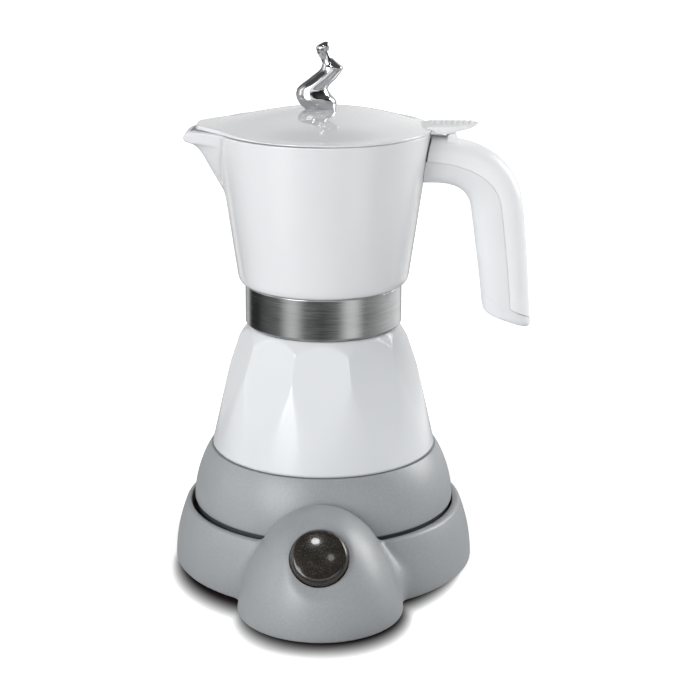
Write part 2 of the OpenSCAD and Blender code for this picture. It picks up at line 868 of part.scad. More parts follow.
boiler_side = [
    [boiler_r, boiler_z + 1.3],
    [boiler_r - 3.3, boiler_z + 16.6],
    [shoulder_r + 3.9, shoulder_z - 14],
    [shoulder_r, shoulder_z]
];
boiler_shoulder = [
    [shoulder_r, shoulder_z],
    [shoulder_r - 1, shoulder_z + 4.5],
    [collar_r + 3, shoulder_top - 3.5],
    [collar_r - 1, shoulder_top]
];
boiler_inside = [
    [inside_r, inside_z],
    [inside_r - 3.3, inside_z + 11],
    [shoulder_r - boiler_wall + 3.4, shoulder_z - 15],
    [shoulder_r - boiler_wall, shoulder_z - 2]
];
boiler_inside_top = [
    [shoulder_r - boiler_wall, shoulder_z - 2],
    [shoulder_r - boiler_wall - 1, shoulder_z + 3],
    [collar_r - boiler_wall + 1.5, shoulder_top - boiler_wall - 2],
    [neck_in_r, shoulder_top - boiler_wall - 0.5]
];

module boiler() color("#f2f3f4") difference() {
    union() {
        difference() {
            revolve(concat(
                [[0, boiler_z], [boiler_r - 0.8, boiler_z]],
                curve(boiler_side, 10),
                curve(boiler_shoulder, 8),
                [[neck_core_r, shoulder_top]],
                thread_points(neck_core_r, neck_crest_r, shoulder_top + 1, neck_top),
                [[neck_core_r, neck_top], [0, neck_top]]
            ));
            around(facets, 0, -90) translate([facet_p, 0, shoulder_z]) rotate([0, -facet_tilt, 0])
                translate([0, -boiler_r / 2, -boiler_h]) cube([boiler_r, boiler_r, boiler_h + shoulder_h]);
        }
        translate([0, 0, valve_z]) rod_y(valve_boss_r, valve_wall_y - 2.5, valve_boss_y);
    }
    revolve(concat(
        [[0, floor_z], [inside_r - 2, floor_z]],
        curve(boiler_inside, 8),
        curve(boiler_inside_top, 8),
        [[neck_in_r, neck_top + 1], [0, neck_top + 1]]
    ));
    translate([0, 0, valve_z]) rod_y(valve_r + seat_gap, valve_in_y - 3, valve_boss_y + 1);
    around(boiler_screw_n, boiler_screw_ring)
        disc(screw_shank_r + seat_gap, boiler_z - 1, boiler_z + boiler_screw_depth);
}

module valve_body() color("#c9a24a") translate([0, 0, valve_z]) difference() {
    union() {
        rod_y(valve_r, valve_in_y, valve_boss_y + 1);
        translate([0, valve_boss_y + seat_gap, 0]) rotate([-90, 0, 0])
            cylinder(r = valve_r + 2.6, h = valve_nut_h - seat_gap, $fn = 6);
    }
    rod_y(valve_bore_r, valve_in_y - 1, valve_in_y + valve_chamber);
    rod_y(stem_r + run_gap, valve_in_y, valve_out_y + 1);
}

module valve_spring() color("silver") translate([0, 0, valve_z]) rotate([-90, 0, 0]) {
    coil(stem_r + run_gap + 0.5, valve_spring_wire, valve_spring_turns,
        stem_head_y + stem_head_t + seat_gap, valve_in_y + valve_chamber - seat_gap);
}

module valve_stem() color("#d8b560") translate([0, 0, valve_z]) {
    rod_y(stem_head_r, stem_head_y, stem_head_y + stem_head_t);
    rod_y(stem_r, stem_head_y, valve_out_y + stem_proud);
}

// Brewing parts

module sieve_holes(r, z0, z1, rings) {
    step = r / (rings + 0.6);
    disc(sieve_r, z0, z1);
    for (k = [1 : rings]) around(6 * k, k * step) disc(sieve_r, z0, z1);
}

module funnel() color("#b9bcbe") difference() {
    wall = basket_wall;
    neck_z = basket_floor_z - cone_drop;
    revolve([
        [funnel_stem_r - wall, funnel_stem_z],
        [funnel_stem_r, funnel_stem_z],
        [funnel_stem_r, neck_z],
        [basket_r, basket_floor_z - 0.6],
        [basket_r, funnel_z],
        [funnel_flange_r, funnel_z],
        [funnel_flange_r, funnel_top],
        [basket_r - wall, funnel_top],
        [basket_r - wall, basket_floor_z + wall],
        [0, basket_floor_z + wall],
        [0, basket_floor_z - 0.4],
        [basket_r - 2 * wall, basket_floor_z - 0.4],
        [funnel_stem_r - wall, neck_z + 0.4]
    ]);
    sieve_holes(basket_r - wall, basket_floor_z - 0.8, basket_floor_z + wall + 1, 3);
}

module gasket() color("#e8e6e0") {
    ring(gasket_in_r, gasket_r, gasket_z, gasket_top);
}

module filter_plate() color("#b9bcbe") difference() {
    disc(filter_r, filter_z, filter_z + filter_t);
    sieve_holes(filter_r, filter_z - 1, filter_z + filter_t + 1, 3);
}

// Jug

module screw_collar() color("#c4c7c9") {
    ring(collar_r - collar_wall, collar_r, collar_z, collar_top);
}

module collector_base() color("#b9bcbe") difference() {
    disc(casting_r, casting_low, collar_top);
    revolve(concat(
        [[0, casting_low - 1], [thread_root_r, casting_low - 1]],
        thread_points(thread_root_r, thread_crest_r, casting_low + 0.6, funnel_z),
        [[thread_root_r, funnel_z - 1.2], [thread_crest_r, funnel_z], [thread_crest_r, ceiling_z],
            [0, ceiling_z]]
    ));
    disc(chimney_r + seat_gap, ceiling_z - 1, collar_top + 1);
    disc(chimney_flange_r + seat_gap, ceiling_z - 1, chimney_flange_z + chimney_flange_t + seat_gap);
}

module chimney() color("#b9bcbe") {
    revolve([
        [chimney_in_r, chimney_flange_z],
        [chimney_flange_r, chimney_flange_z],
        [chimney_flange_r, chimney_flange_z + chimney_flange_t],
        [chimney_r, chimney_flange_z + chimney_flange_t],
        [chimney_r, nut_z + nut_h + 1],
        [chimney_top_r, chimney_top - 4],
        [chimney_top_r, chimney_top],
        [chimney_in_r, chimney_top]
    ]);
}

function jug_r_at(z) = jug_foot_r + jug_slope * (z - jug_turn_z);

// Solid inside the jug's outer face, for what fits round the jug
module jug_outside(grow) {
    revolve([
        [0, jug_z],
        [jug_r_at(jug_z) + grow, jug_z],
        [jug_r_at(rim_z + 6) + grow, rim_z + 6],
        [0, rim_z + 6]
    ]);
}

// Pouring spout: a wedge that opens from the crease to the rim and ends in a turned lip
module spout(inset, over) {
    hull() {
        translate([-jug_r_at(rim_z - spout_drop) + 2 + inset, 0, rim_z - spout_drop + 2 * inset])
            sphere(r = 1.4, $fn = 16);
        for (side = [-1, 1]) translate([-jug_rim_r + 7, side * (spout_half - inset), rim_z - 0.5])
            cylinder(r = 0.5, h = 0.5 + over, $fn = 16);
        for (side = [-1, 1]) translate([-spout_tip_x + 6.5 + inset, side * spout_tip_half, rim_z - 4])
            cylinder(r = max(1.6 - inset / 2, 0.4), h = 4 + over, $fn = 16);
    }
    hull() for (side = [-1, 1]) {
        translate([-spout_tip_x + 8 + inset, side * spout_tip_half, rim_z - 7 + inset])
            cylinder(r = max(2 - inset / 2, 0.6), h = 7 - inset + over, $fn = 16);
        translate([-spout_tip_x + lip_r + inset, side * (spout_tip_half - inset), rim_z - 2.6 + inset])
            cylinder(r = lip_r, h = 2.6 - inset + over, $fn = 16);
    }
}

module jug_body() color("#f2f3f4") difference() {
    union() {
        revolve(concat(
            [[0, jug_z], [jug_foot_in, jug_z]],
            curve([[jug_foot_in, jug_z], [jug_foot_r - 0.8, jug_z + 0.2], [jug_foot_r - 0.3, jug_z + 3.4],
                [jug_foot_r, jug_turn_z]], 6),
            [[jug_rim_r, rim_z], [0, rim_z]]
        ));
        spout(0, 0);
        translate([jug_r_at(lug_low) - 1.2, -lug_half, lug_low])
            cube([lug_x - jug_r_at(lug_low) + 1.2, 2 * lug_half, lug_high - lug_low]);
    }
    revolve([
        [0, jug_floor],
        [jug_foot_r - jug_wall - 3, jug_floor],
        [jug_r_at(jug_floor + 4) - jug_wall, jug_floor + 4],
        [jug_r_at(rim_z + 1) - jug_wall, rim_z + 1],
        [0, rim_z + 1]
    ]);
    spout(spout_skin, 3);
    disc(chimney_r + seat_gap, jug_z - 1, jug_floor + 1);
    translate([lug_x - 7, 0, handle_screw_z]) rotate([0, 90, 0])
        cylinder(r = screw_shank_r + seat_gap, h = 8);
}

module jug_seal() color("#e8e6e0") {
    ring(chimney_r + seat_gap, seal_r, jug_floor + seat_gap, jug_floor + seat_gap + seal_t);
}

module chimney_nut() color("#b9bcbe") difference() {
    translate([0, 0, nut_z]) cylinder(r = nut_r, h = nut_h, $fn = 6);
    disc(chimney_r + seat_gap, nut_z - 1, nut_z + nut_h + 1);
}

module chimney_cap() color("#b9bcbe") difference() {
    cap_r = chimney_top_r + seat_gap + cap_wall;
    union() {
        disc(cap_r, chimney_top - 3, chimney_top + cap_h - cap_r);
        translate([0, 0, chimney_top + cap_h - cap_r]) intersection() {
            sphere(r = cap_r);
            disc(cap_r + 1, 0, cap_r);
        }
    }
    disc(chimney_top_r + seat_gap, chimney_top - 4, chimney_top + seat_gap);
    disc(chimney_in_r, chimney_top - 1, chimney_top + cap_h - cap_r + 1);
    for (side = [-1, 1]) translate([side * cap_r, 0, chimney_top + 2.4]) rotate([0, 90, 0])
        cylinder(r = 2.2, h = 2 * (cap_r - chimney_in_r + 1), center = true);
}

// Handle

// Point of a two-part handle curve, s from 0 at the jug to 2 at the cover's end
function handle_point(parts, s) =
    let (i = min(floor(s), 1), p = bezier(parts[i], s - i))
    [jug_rim_r + p[0], 0, rim_z - p[1]];

// Half section from the seam towards a face, out along the outside and back along the inside;
// turn is 1 or -1, the side on which it starts
function half_section(seam, face, width, wall, turn) =
    let (depth = norm(face - seam),
         dir = (face - seam) / depth,
         outside = [for (k = [0 : section_steps]) let (a = 180 * k / section_steps)
             seam + section_at(a, turn * width, depth, dir)],
         inside = [for (k = [section_steps : -1 : 0]) let (a = 180 * k / section_steps)
             seam + section_at(a, turn * (width - wall), depth - wall, dir)])
    concat(outside, inside);

function section_at(a, width, depth, dir) =
    [0, width * sign(cos(a)) * pow(abs(cos(a)), section_power), 0]
    + dir * (seam_gap + (depth - seam_gap) * pow(abs(sin(a)), section_power));

function handle_rings(face, s_end, turn) =
    let (n = 2 * handle_steps)
    [for (i = [0 : n]) let (s = s_end * i / n)
        half_section(handle_point(handle_seam, s), handle_point(face, s), handle_w / 2, handle_wall, turn)];

// Full section between an inner and an outer point
function full_section(a, b, width) =
    let (mid = (a + b) / 2, n = 2 * section_steps)
    [for (k = [0 : n - 1]) let (t = 360 * k / n)
        mid + (b - a) / 2 * sign(sin(t)) * pow(abs(sin(t)), section_power)
        + [0, width * sign(cos(t)) * pow(abs(cos(t)), section_power), 0]];

module handle_foot() {
    a = handle_point(handle_inner, 2);
    b = handle_point(handle_outer, 2);
    low = rim_z - handle_drop;
    half = handle_w / 2;
    skin([
        full_section(handle_point(handle_inner, foot_start), b, half),
        full_section([a[0] + 0.8, 0, low + 9.8], [b[0] + 0.3, 0, low + 2], half),
        full_section([a[0] + 2.6, 0, low + 7.1], [b[0] - 0.6, 0, low + 0.3], half * 0.86),
        full_section([a[0] + 6.4, 0, low + 5.4], [b[0] - 3.2, 0, low], half * 0.6)
    ]);
}

module handle_shell() color("#e4e6e8") difference() {
    union() {
        channel_skin(handle_rings(handle_inner, 2, -1));
        handle_foot();
        translate([web_x, -handle_w / 2 + 2.9, lug_low - 0.5])
            cube([web_t, handle_w - 5.8, lug_high - lug_low + 2]);
    }
    jug_outside(seat_gap);
    translate([web_x - 1, 0, handle_screw_z]) rotate([0, 90, 0])
        cylinder(r = screw_shank_r + 0.3, h = web_t + 2);
}

module handle_screw() color("silver") {
    translate([web_x + web_t + seat_gap, 0, handle_screw_z]) rotate([0, -90, 0]) screw(web_t + 6);
}

module hinge_axis() {
    translate([hinge_x, 0, hinge_z]) children();
}

module handle_cover() color("#eceef0") difference() {
    union() {
        channel_skin(handle_rings(handle_outer, cover_end, 1));
        hinge_axis() for (side = [-1, 1]) hull() {
            mid = side * (handle_lug_in + handle_lug_out) / 2;
            half = (handle_lug_out - handle_lug_in) / 2;
            rod_y(hinge_lug_r, mid - half, mid + half);
            translate([-hinge_lug_r, mid - half, -3.4]) cube([2 * hinge_lug_r, 2 * half, 1]);
        }
    }
    jug_outside(cover_slit);
    hinge_axis() {
        rod_y(hinge_pin_r + seat_gap, -handle_lug_out - 1, handle_lug_out + 1);
        rod_y(hinge_lug_r + run_gap, -handle_lug_in, handle_lug_in);
    }
}

module hinge_pin() color("silver") hinge_axis() {
    rod_y(hinge_pin_r, -handle_lug_out, handle_lug_out);
}

// Lid

module lid_plan(inset = 0) {
    circle(lid_r - inset);
    polygon([
        [0, beak_root - inset],
        [-sqrt(lid_r * lid_r - beak_root * beak_root), beak_root - inset],
        [-beak_x + inset, beak_half - inset],
        [-beak_x + inset, -beak_half + inset],
        [-sqrt(lid_r * lid_r - beak_root * beak_root), -beak_root + inset],
        [0, -beak_root + inset]
    ]);
}

function dome_points(inset) = curve([
    [lid_r - inset, dome_z],
    [lid_r * 0.7 - inset, dome_z + dome_h * 0.57 - inset],
    [lid_r * 0.39, dome_top - inset],
    [0, dome_top - inset]
]);

module lid() color("#f2f3f4") difference() {
    union() {
        translate([0, 0, lid_z]) linear_extrude(lid_edge) lid_plan();
        revolve(concat([[0, lid_z + 0.1], [lid_r - 0.6, lid_z + 0.1]], dome_points(0.4)));
        ring(lid_ring_r - lid_ring_t, lid_ring_r, lid_z - lid_ring_h, lid_z + 0.5);
        translate([lid_r - 2, -tab_half, lid_z]) cube([2 + tab_out, 2 * tab_half, lid_edge]);
    }
    revolve(concat([[0, lid_z - 1], [lid_ring_r - lid_ring_t, lid_z - 1]],
        curve([
            [lid_ring_r - lid_ring_t, lid_z + 0.4],
            [lid_r * 0.66, dome_z + dome_h * 0.5 - lid_wall],
            [lid_r * 0.39, dome_top - 0.4 - lid_wall],
            [0, dome_top - 0.4 - lid_wall]
        ])));
    disc(knob_screw_r + 0.2, lid_z, dome_top + 1);
}

lever_side = [
    [lid_r - 6, lever_top - lever_depth],
    [hinge_x - 2.4, lever_top - 4.8],
    [hinge_x + 8.5, lever_top - 2.4],
    [lever_x, lever_top - lever_tip_t],
    [lever_x, lever_top],
    [lid_r + 2, lever_top],
    [lid_r - 6, lever_top - 0.8]
];

module lever_plan() {
    tip = curve([[hinge_x - 3, lever_half], [lever_x - 5, lever_half], [lever_x, 5], [lever_x, 0]], 8);
    root = curve([[lid_r - 6, 6.4], [lid_r, 6.6], [hinge_x - 6, lever_half], [hinge_x - 3, lever_half]], 6);
    upper = concat(root, tip);
    polygon(concat(upper, [for (i = [len(upper) - 2 : -1 : 0]) [upper[i][0], -upper[i][1]]]));
}

module thumb_lever() color("#e4e6e8") difference() {
    union() {
        difference() {
            intersection() {
                translate([0, 0, lever_top - lever_depth]) linear_extrude(lever_depth) lever_plan();
                translate([0, lever_half, 0]) rotate([90, 0, 0]) linear_extrude(2 * lever_half)
                    polygon(lever_side);
            }
            hinge_axis() for (side = [-1, 1]) {
                mid = side * (lever_lug_half + lever_half + 1) / 2;
                half = (lever_half + 1 - lever_lug_half) / 2;
                rod_y(hinge_lug_r + run_gap, mid - half, mid + half);
            }
        }
        hinge_axis() rod_y(hinge_lug_r, -lever_lug_half, lever_lug_half);
        for (k = [0 : lever_ribs - 1]) translate([lever_x - 4.4 - k * lever_rib_step, 0, lever_top - 0.2])
            rod_y(lever_rib_r, -4.6, 4.6);
    }
    disc(lid_r + seat_gap, rim_z - 12, lever_top + 5);
    translate([lid_r - 3, -tab_half - seat_gap, lid_z - seat_gap])
        cube([3 + tab_out + seat_gap, 2 * (tab_half + seat_gap), lid_edge + 2 * seat_gap]);
    hinge_axis() rod_y(hinge_pin_r + hinge_fit, -lever_half, lever_half);
}

// Flame-shaped knob: rows of height share, sideways shift and half width from foot to tip
knob_rows = [
    [0, -2, 7.5], [0.16, -3.2, 9.7], [0.31, -5, 7.2], [0.43, -3, 7], [0.56, 1.4, 6.2],
    [0.69, 3.8, 4.6], [0.84, 1.2, 3.5], [0.95, -1.2, 2.4], [1, 0.2, 0.9]
];

module lid_knob() color("#d5d8da") translate([0, 0, knob_z]) difference() {
    skin([
        for (i = [0 : knob_rings])
            let (row = through_rows(knob_rows, (len(knob_rows) - 1) * i / knob_rings), w = row[2])
            [for (j = [0 : knob_sides - 1])
                let (a = 360 * j / knob_sides,
                     r = w * (1 + 0.1 * cos(knob_lobes * (a - knob_twist_angle * row[0]))))
                [row[1] + r * cos(a), 0.72 * r * sin(a), knob_h * row[0]]]
    ]);
    translate([0, 0, -1]) cylinder(r = knob_screw_r + seat_gap, h = knob_screw_len + 1);
}

module knob_screw() color("silver") {
    under = dome_top - 0.4 - lid_wall - seat_gap;
    disc(knob_screw_r + 2.2, under - 1.8, under);
    disc(knob_screw_r, under - 0.5, knob_z + knob_screw_len - 0.4);
}

base_shell();
base_plate();
foot_ring();
front_foot();
plate_screws();
cord_gland();
base_connector();
base_contacts();
circuit_board();
board_screws();
switch_body();
signal_lamp();
button_spring();
base_leads();
button_lens();
button_holder();
switch_plunger();
skirt();
skirt_floor();
floor_screws();
pot_connector();
pot_contacts();
boiler_screws();
heating_plate();
heating_element();
thermostat();
thermal_fuse();
pot_leads();
boiler();
valve_body();
valve_spring();
valve_stem();
funnel();
gasket();
filter_plate();
screw_collar();
collector_base();
chimney();
jug_body();
jug_seal();
chimney_nut();
chimney_cap();
handle_shell();
handle_cover();
handle_screw();
hinge_pin();
lid();
thumb_lever();
lid_knob();
knob_screw();
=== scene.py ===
"""Looks of the electric moka pot: fine shapes, finishes, floor, light and camera.

Shapes are in millimetres about the pot's axis, with the table at 0, the button towards -Y,
the handle towards +X and the spout towards -X.
"""

import json
import math

import bmesh
import bpy
import numpy as np
from mathutils import Matrix


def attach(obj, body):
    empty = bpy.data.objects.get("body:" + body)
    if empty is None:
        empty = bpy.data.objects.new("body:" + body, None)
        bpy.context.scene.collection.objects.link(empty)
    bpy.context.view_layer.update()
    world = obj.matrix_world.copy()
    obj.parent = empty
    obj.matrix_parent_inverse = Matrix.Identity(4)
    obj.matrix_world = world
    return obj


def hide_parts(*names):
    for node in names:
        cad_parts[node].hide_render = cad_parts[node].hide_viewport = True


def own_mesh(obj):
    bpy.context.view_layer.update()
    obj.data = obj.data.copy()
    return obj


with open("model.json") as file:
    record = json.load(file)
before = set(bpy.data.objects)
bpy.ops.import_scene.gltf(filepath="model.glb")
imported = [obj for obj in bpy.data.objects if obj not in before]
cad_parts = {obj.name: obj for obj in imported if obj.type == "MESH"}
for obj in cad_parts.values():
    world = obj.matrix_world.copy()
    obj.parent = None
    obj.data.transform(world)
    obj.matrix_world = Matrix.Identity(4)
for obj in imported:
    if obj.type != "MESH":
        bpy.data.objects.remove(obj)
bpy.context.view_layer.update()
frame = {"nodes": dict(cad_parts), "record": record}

MM = 0.001
QUARTER = math.pi / 2
FULL_TURN = 2 * math.pi


def add_object(name, data):
    made = bpy.data.objects.new(name, data)
    bpy.context.scene.collection.objects.link(made)
    return made


# Camera

def photo_camera():
    turn, tilt = math.radians(1.2), math.radians(73.26)
    distance, height = 0.8635, 0.36606
    data = bpy.data.cameras.new("photo_camera")
    data.lens = 94.17
    data.sensor_width = 36
    data.shift_x = 0.0379
    camera = add_object("photo_camera", data)
    camera.location = (distance * math.sin(turn), -distance * math.cos(turn), height)
    camera.rotation_euler = (tilt, 0, turn)
    bpy.context.scene.camera = camera


# Shader sums

class Value:
    """A shader socket that takes part in sums."""

    def __init__(self, nodes, socket):
        self.nodes, self.socket = nodes, socket

    def sum(self, operation, first, second):
        return self.nodes.node("ShaderNodeMath", {"operation": operation}, {0: first, 1: second})

    def __add__(self, other):
        return self.sum("ADD", self, other)

    def __radd__(self, other):
        return self.sum("ADD", other, self)

    def __sub__(self, other):
        return self.sum("SUBTRACT", self, other)

    def __rsub__(self, other):
        return self.sum("SUBTRACT", other, self)

    def __mul__(self, other):
        return self.sum("MULTIPLY", self, other)

    def __rmul__(self, other):
        return self.sum("MULTIPLY", other, self)

    def __truediv__(self, other):
        return self.sum("DIVIDE", self, other)

    def __rtruediv__(self, other):
        return self.sum("DIVIDE", other, self)

    def __pow__(self, other):
        return self.sum("POWER", self, other)

    def __rpow__(self, other):
        return self.sum("POWER", other, self)


class Nodes:
    """The nodes of one material or of the world."""

    def __init__(self, tree):
        self.tree = tree

    def node(self, kind, settings={}, sockets={}, out=0):
        made = self.tree.nodes.new(kind)
        for name, value in settings.items():
            if name == "stops":
                self.set_stops(made.color_ramp, value)
            else:
                setattr(made, name, value)
        for name, value in sockets.items():
            self.feed(made.inputs[name], value)
        return Value(self, made.outputs[out])

    def set_stops(self, ramp, stops):
        while len(ramp.elements) < len(stops):
            ramp.elements.new(1)
        for element, (place, grey) in zip(ramp.elements, stops):
            element.position = place
            element.color = (grey, grey, grey, 1)

    def feed(self, socket, value):
        if isinstance(value, Value):
            self.tree.links.new(value.socket, socket)
        else:
            socket.default_value = value

    def place(self, stretch=(1, 1, 1)):
        spot = self.node("ShaderNodeTexCoord", out="Object")
        return self.node("ShaderNodeMapping", {}, {"Vector": spot, "Scale": stretch})

    def noise(self, size_mm, detail=2.0, roughness=0.5, stretch=(1, 1, 1)):
        return self.node("ShaderNodeTexNoise", {}, {
            "Vector": self.place(stretch), "Scale": 1000 / size_mm, "Detail": detail,
            "Roughness": roughness})

    def span(self, value, low, high, to_low=0.0, to_high=1.0):
        return self.node("ShaderNodeMapRange", {"clamp": True}, {
            "Value": value, "From Min": low, "From Max": high, "To Min": to_low, "To Max": to_high})

    def blend(self, share, first, second):
        return self.node("ShaderNodeMix", {"data_type": "RGBA"}, {
            0: share, 6: self.rgba(first), 7: self.rgba(second)}, 2)

    def tone(self, pattern, dark, light, low=0.3, high=0.7):
        """Colour that goes from dark to light as a pattern goes from low to high."""
        return self.blend(self.span(pattern, low, high), dark, light)

    def rgba(self, colour):
        return (*colour, 1) if isinstance(colour, tuple) else colour


class Finish(Nodes):
    """A material with one Principled shader; plain values go on its sockets, the rest is linked."""

    def __init__(self, name, **sockets):
        self.material = bpy.data.materials.new(name)
        self.material.use_nodes = True
        super().__init__(self.material.node_tree)
        self.shader = self.tree.nodes["Principled BSDF"]
        self.set(**sockets)

    def set(self, **sockets):
        for name, value in sockets.items():
            words = name.split("_")
            socket = " ".join(w.upper() if w == "ior" else w.capitalize() for w in words)
            self.feed(self.shader.inputs[socket], self.rgba(value))
        return self

    def bump(self, height, depth_mm, strength):
        self.feed(self.shader.inputs["Normal"], self.node("ShaderNodeBump", {}, {
            "Strength": strength, "Distance": depth_mm * MM, "Height": height}))
        return self


# Finishes

def speckled_grey():
    finish = Finish("speckled_grey", coat_roughness=0.32, specular_ior_level=0.7)
    specks = finish.noise(0.75, detail=3, roughness=0.6)
    clouds = finish.noise(26)
    spread = finish.span(specks, 0.3, 0.7) * 0.7 + finish.span(clouds, 0.3, 0.7) * 0.3
    finish.set(base_color=finish.blend(spread, (0.285, 0.301, 0.312), (0.372, 0.392, 0.407)),
               roughness=0.36 + 0.14 * specks, coat_weight=0.2 + 0.15 * specks)
    return finish.bump(specks, depth_mm=0.06, strength=0.5)


def gloss_white():
    finish = Finish("white_gloss", coat_weight=1.0, coat_roughness=0.03, specular_ior_level=0.4)
    clouds = finish.noise(34)
    dust = finish.noise(0.9)
    light = (0.775, 0.787, 0.808)
    dark = tuple(c * 0.985 for c in light)
    finish.set(base_color=finish.tone(clouds, dark, light),
               roughness=0.20 + 0.04 * finish.span(dust, 0.35, 0.75))
    return finish.bump(clouds, depth_mm=0.05, strength=0.2)


def white_enamel():
    finish = Finish("white_enamel", coat_weight=0.7, coat_roughness=0.16, specular_ior_level=0.4)
    peel = finish.noise(3.2)
    clouds = finish.noise(30)
    finish.set(base_color=finish.tone(clouds, (0.735, 0.755, 0.78), (0.745, 0.765, 0.79)),
               roughness=0.22 + 0.04 * finish.span(peel, 0.3, 0.7))
    return finish.bump(clouds, depth_mm=0.02, strength=0.2)


def satin_white(name, dark, light):
    finish = Finish(name, coat_weight=0.15, coat_roughness=0.25)
    grain = finish.noise(0.45)
    clouds = finish.noise(22)
    finish.set(base_color=finish.tone(clouds, dark, light), roughness=0.30 + 0.12 * grain)
    return finish.bump(grain, depth_mm=0.03, strength=0.25)


def brushed_steel():
    finish = Finish("brushed_steel", metallic=1.0, anisotropic=0.65)
    lines = finish.noise(0.35, detail=3, roughness=0.7, stretch=(0.03, 0.03, 1))
    bands = finish.noise(3.5, stretch=(0.05, 0.05, 1))
    marks = lines * 0.7 + bands * 0.3
    finish.set(base_color=finish.tone(marks, (0.475, 0.485, 0.485), (0.645, 0.655, 0.655)),
               roughness=0.11 + 0.12 * finish.span(lines, 0.3, 0.7))
    return finish.bump(lines, depth_mm=0.02, strength=0.3)


def chrome():
    finish = Finish("chrome", metallic=1.0)
    smudge = finish.noise(5, detail=3, roughness=0.6)
    finish.set(base_color=finish.tone(smudge, (0.54, 0.55, 0.56), (0.62, 0.63, 0.64), low=0.35),
               roughness=finish.span(smudge, 0.4, 0.75, 0.05, 0.10))
    return finish.bump(smudge, depth_mm=0.03, strength=0.12)


def turned_metal(name, dark, light, roughness, lines_mm):
    finish = Finish(name, metallic=1.0, anisotropic=0.35)
    lines = finish.noise(lines_mm, detail=3, roughness=0.6, stretch=(0.08, 0.08, 1))
    stain = finish.noise(7, detail=3, roughness=0.6)
    finish.set(base_color=finish.tone(stain, dark, light, low=0.35),
               roughness=roughness + 0.16 * finish.span(lines, 0.3, 0.7))
    return finish.bump(lines, depth_mm=0.02, strength=0.25)


def moulded(name, dark, light, roughness, grain_mm, depth_mm):
    finish = Finish(name)
    grain = finish.noise(grain_mm, roughness=0.6)
    clouds = finish.noise(14)
    finish.set(base_color=finish.tone(grain * 0.6 + clouds * 0.4, dark, light, low=0.35, high=0.65),
               roughness=roughness + 0.14 * grain)
    return finish.bump(grain, depth_mm, strength=0.35)


def smoked_lens():
    finish = Finish("smoked_lens", coat_weight=0.8, coat_roughness=0.07, specular_ior_level=0.3)
    specks = finish.noise(0.42, roughness=0.6)
    clouds = finish.noise(5.5, detail=3, roughness=0.65)
    share = finish.span(specks, 0.50, 0.72) * finish.span(clouds, 0.3, 0.7, 0.15, 1.0)
    finish.set(base_color=finish.blend(share, (0.017, 0.015, 0.013), (0.12, 0.097, 0.074)),
               roughness=0.10 + 0.15 * clouds)
    return finish.bump(clouds, depth_mm=0.02, strength=0.1)


def circuit_board():
    finish = Finish("board_green")
    tracks = finish.node("ShaderNodeTexBrick", {"offset": 0.5}, {
        "Vector": finish.place((1, 1, 1.2)), "Scale": 140, "Mortar Size": 0.03}, 1)
    grain = finish.noise(0.6)
    share = tracks * 0.8 + 0.2 * grain
    finish.set(base_color=finish.blend(share, (0.035, 0.12, 0.06), (0.07, 0.21, 0.10)),
               roughness=0.32 + 0.2 * grain)
    return finish.bump(tracks, depth_mm=0.04, strength=0.4)


# dark and light colour, roughness, width and depth of the grain in mm
MOULDED = {
    "dark_plastic": ((0.045, 0.049, 0.053), (0.075, 0.08, 0.086), 0.42, 0.5, 0.03),
    "pale_plastic": ((0.70, 0.68, 0.64), (0.79, 0.77, 0.73), 0.40, 0.5, 0.03),
    "black_rubber": ((0.018, 0.018, 0.019), (0.034, 0.034, 0.036), 0.62, 0.8, 0.05),
    "white_rubber": ((0.72, 0.71, 0.68), (0.80, 0.79, 0.76), 0.55, 0.9, 0.04),
    "lamp_amber": ((0.62, 0.24, 0.04), (0.80, 0.36, 0.08), 0.14, 1.2, 0.01),
    "lead_insulation": ((0.36, 0.20, 0.14), (0.48, 0.30, 0.20), 0.45, 0.7, 0.03),
}

# dark and light colour, roughness, width of the turning lines in mm
TURNED_METALS = {
    "aluminium": ((0.60, 0.61, 0.62), (0.74, 0.75, 0.76), 0.30, 0.4),
    "brass": ((0.58, 0.40, 0.15), (0.74, 0.54, 0.22), 0.22, 0.3),
    "screw_steel": ((0.48, 0.49, 0.50), (0.62, 0.63, 0.64), 0.28, 0.25),
    "spring_steel": ((0.42, 0.43, 0.44), (0.56, 0.57, 0.58), 0.24, 0.2),
    "element_steel": ((0.24, 0.235, 0.23), (0.40, 0.385, 0.37), 0.38, 0.6),
}

FINISHES = {
    "grey_plastic": speckled_grey(),
    "white_gloss": gloss_white(),
    "white_satin": satin_white("white_satin", (0.88, 0.89, 0.90), (0.90, 0.91, 0.92)),
    "white_enamel": white_enamel(),
    "collar_steel": brushed_steel(),
    "chrome": chrome(),
    "smoked_lens": smoked_lens(),
    "board_green": circuit_board(),
    **{slot: moulded(slot, *look) for slot, look in MOULDED.items()},
    **{slot: turned_metal(slot, *look) for slot, look in TURNED_METALS.items()},
}


# Shapes

CREASE = 38


def smooth_min(a, b, k):
    h = np.clip(0.5 + 0.5 * (b - a) / k, 0, 1)
    return b + (a - b) * h - k * h * (1 - h)


def smooth_max(a, b, k):
    return -smooth_min(-a, -b, k)


def squarer(wave, power):
    """Cosine or sine flattened, so that a circle drawn with it comes near a square."""
    return np.sign(wave) * np.abs(wave) ** power


def full_circle(columns):
    return np.linspace(0, FULL_TURN, columns, endpoint=False)[None, :]


def crowded(columns, evenness):
    """Places from -1 to 1, crowded about 0."""
    u = np.linspace(-1, 1, columns, endpoint=False)
    return evenness * u + (1 - evenness) * u ** 3


def bezier(points, n):
    t = np.linspace(0, 1, n)[:, None]
    p = np.asarray(points, float)
    return (1 - t) ** 3 * p[0] + 3 * (1 - t) ** 2 * t * p[1] + 3 * (1 - t) * t ** 2 * p[2] + t ** 3 * p[3]


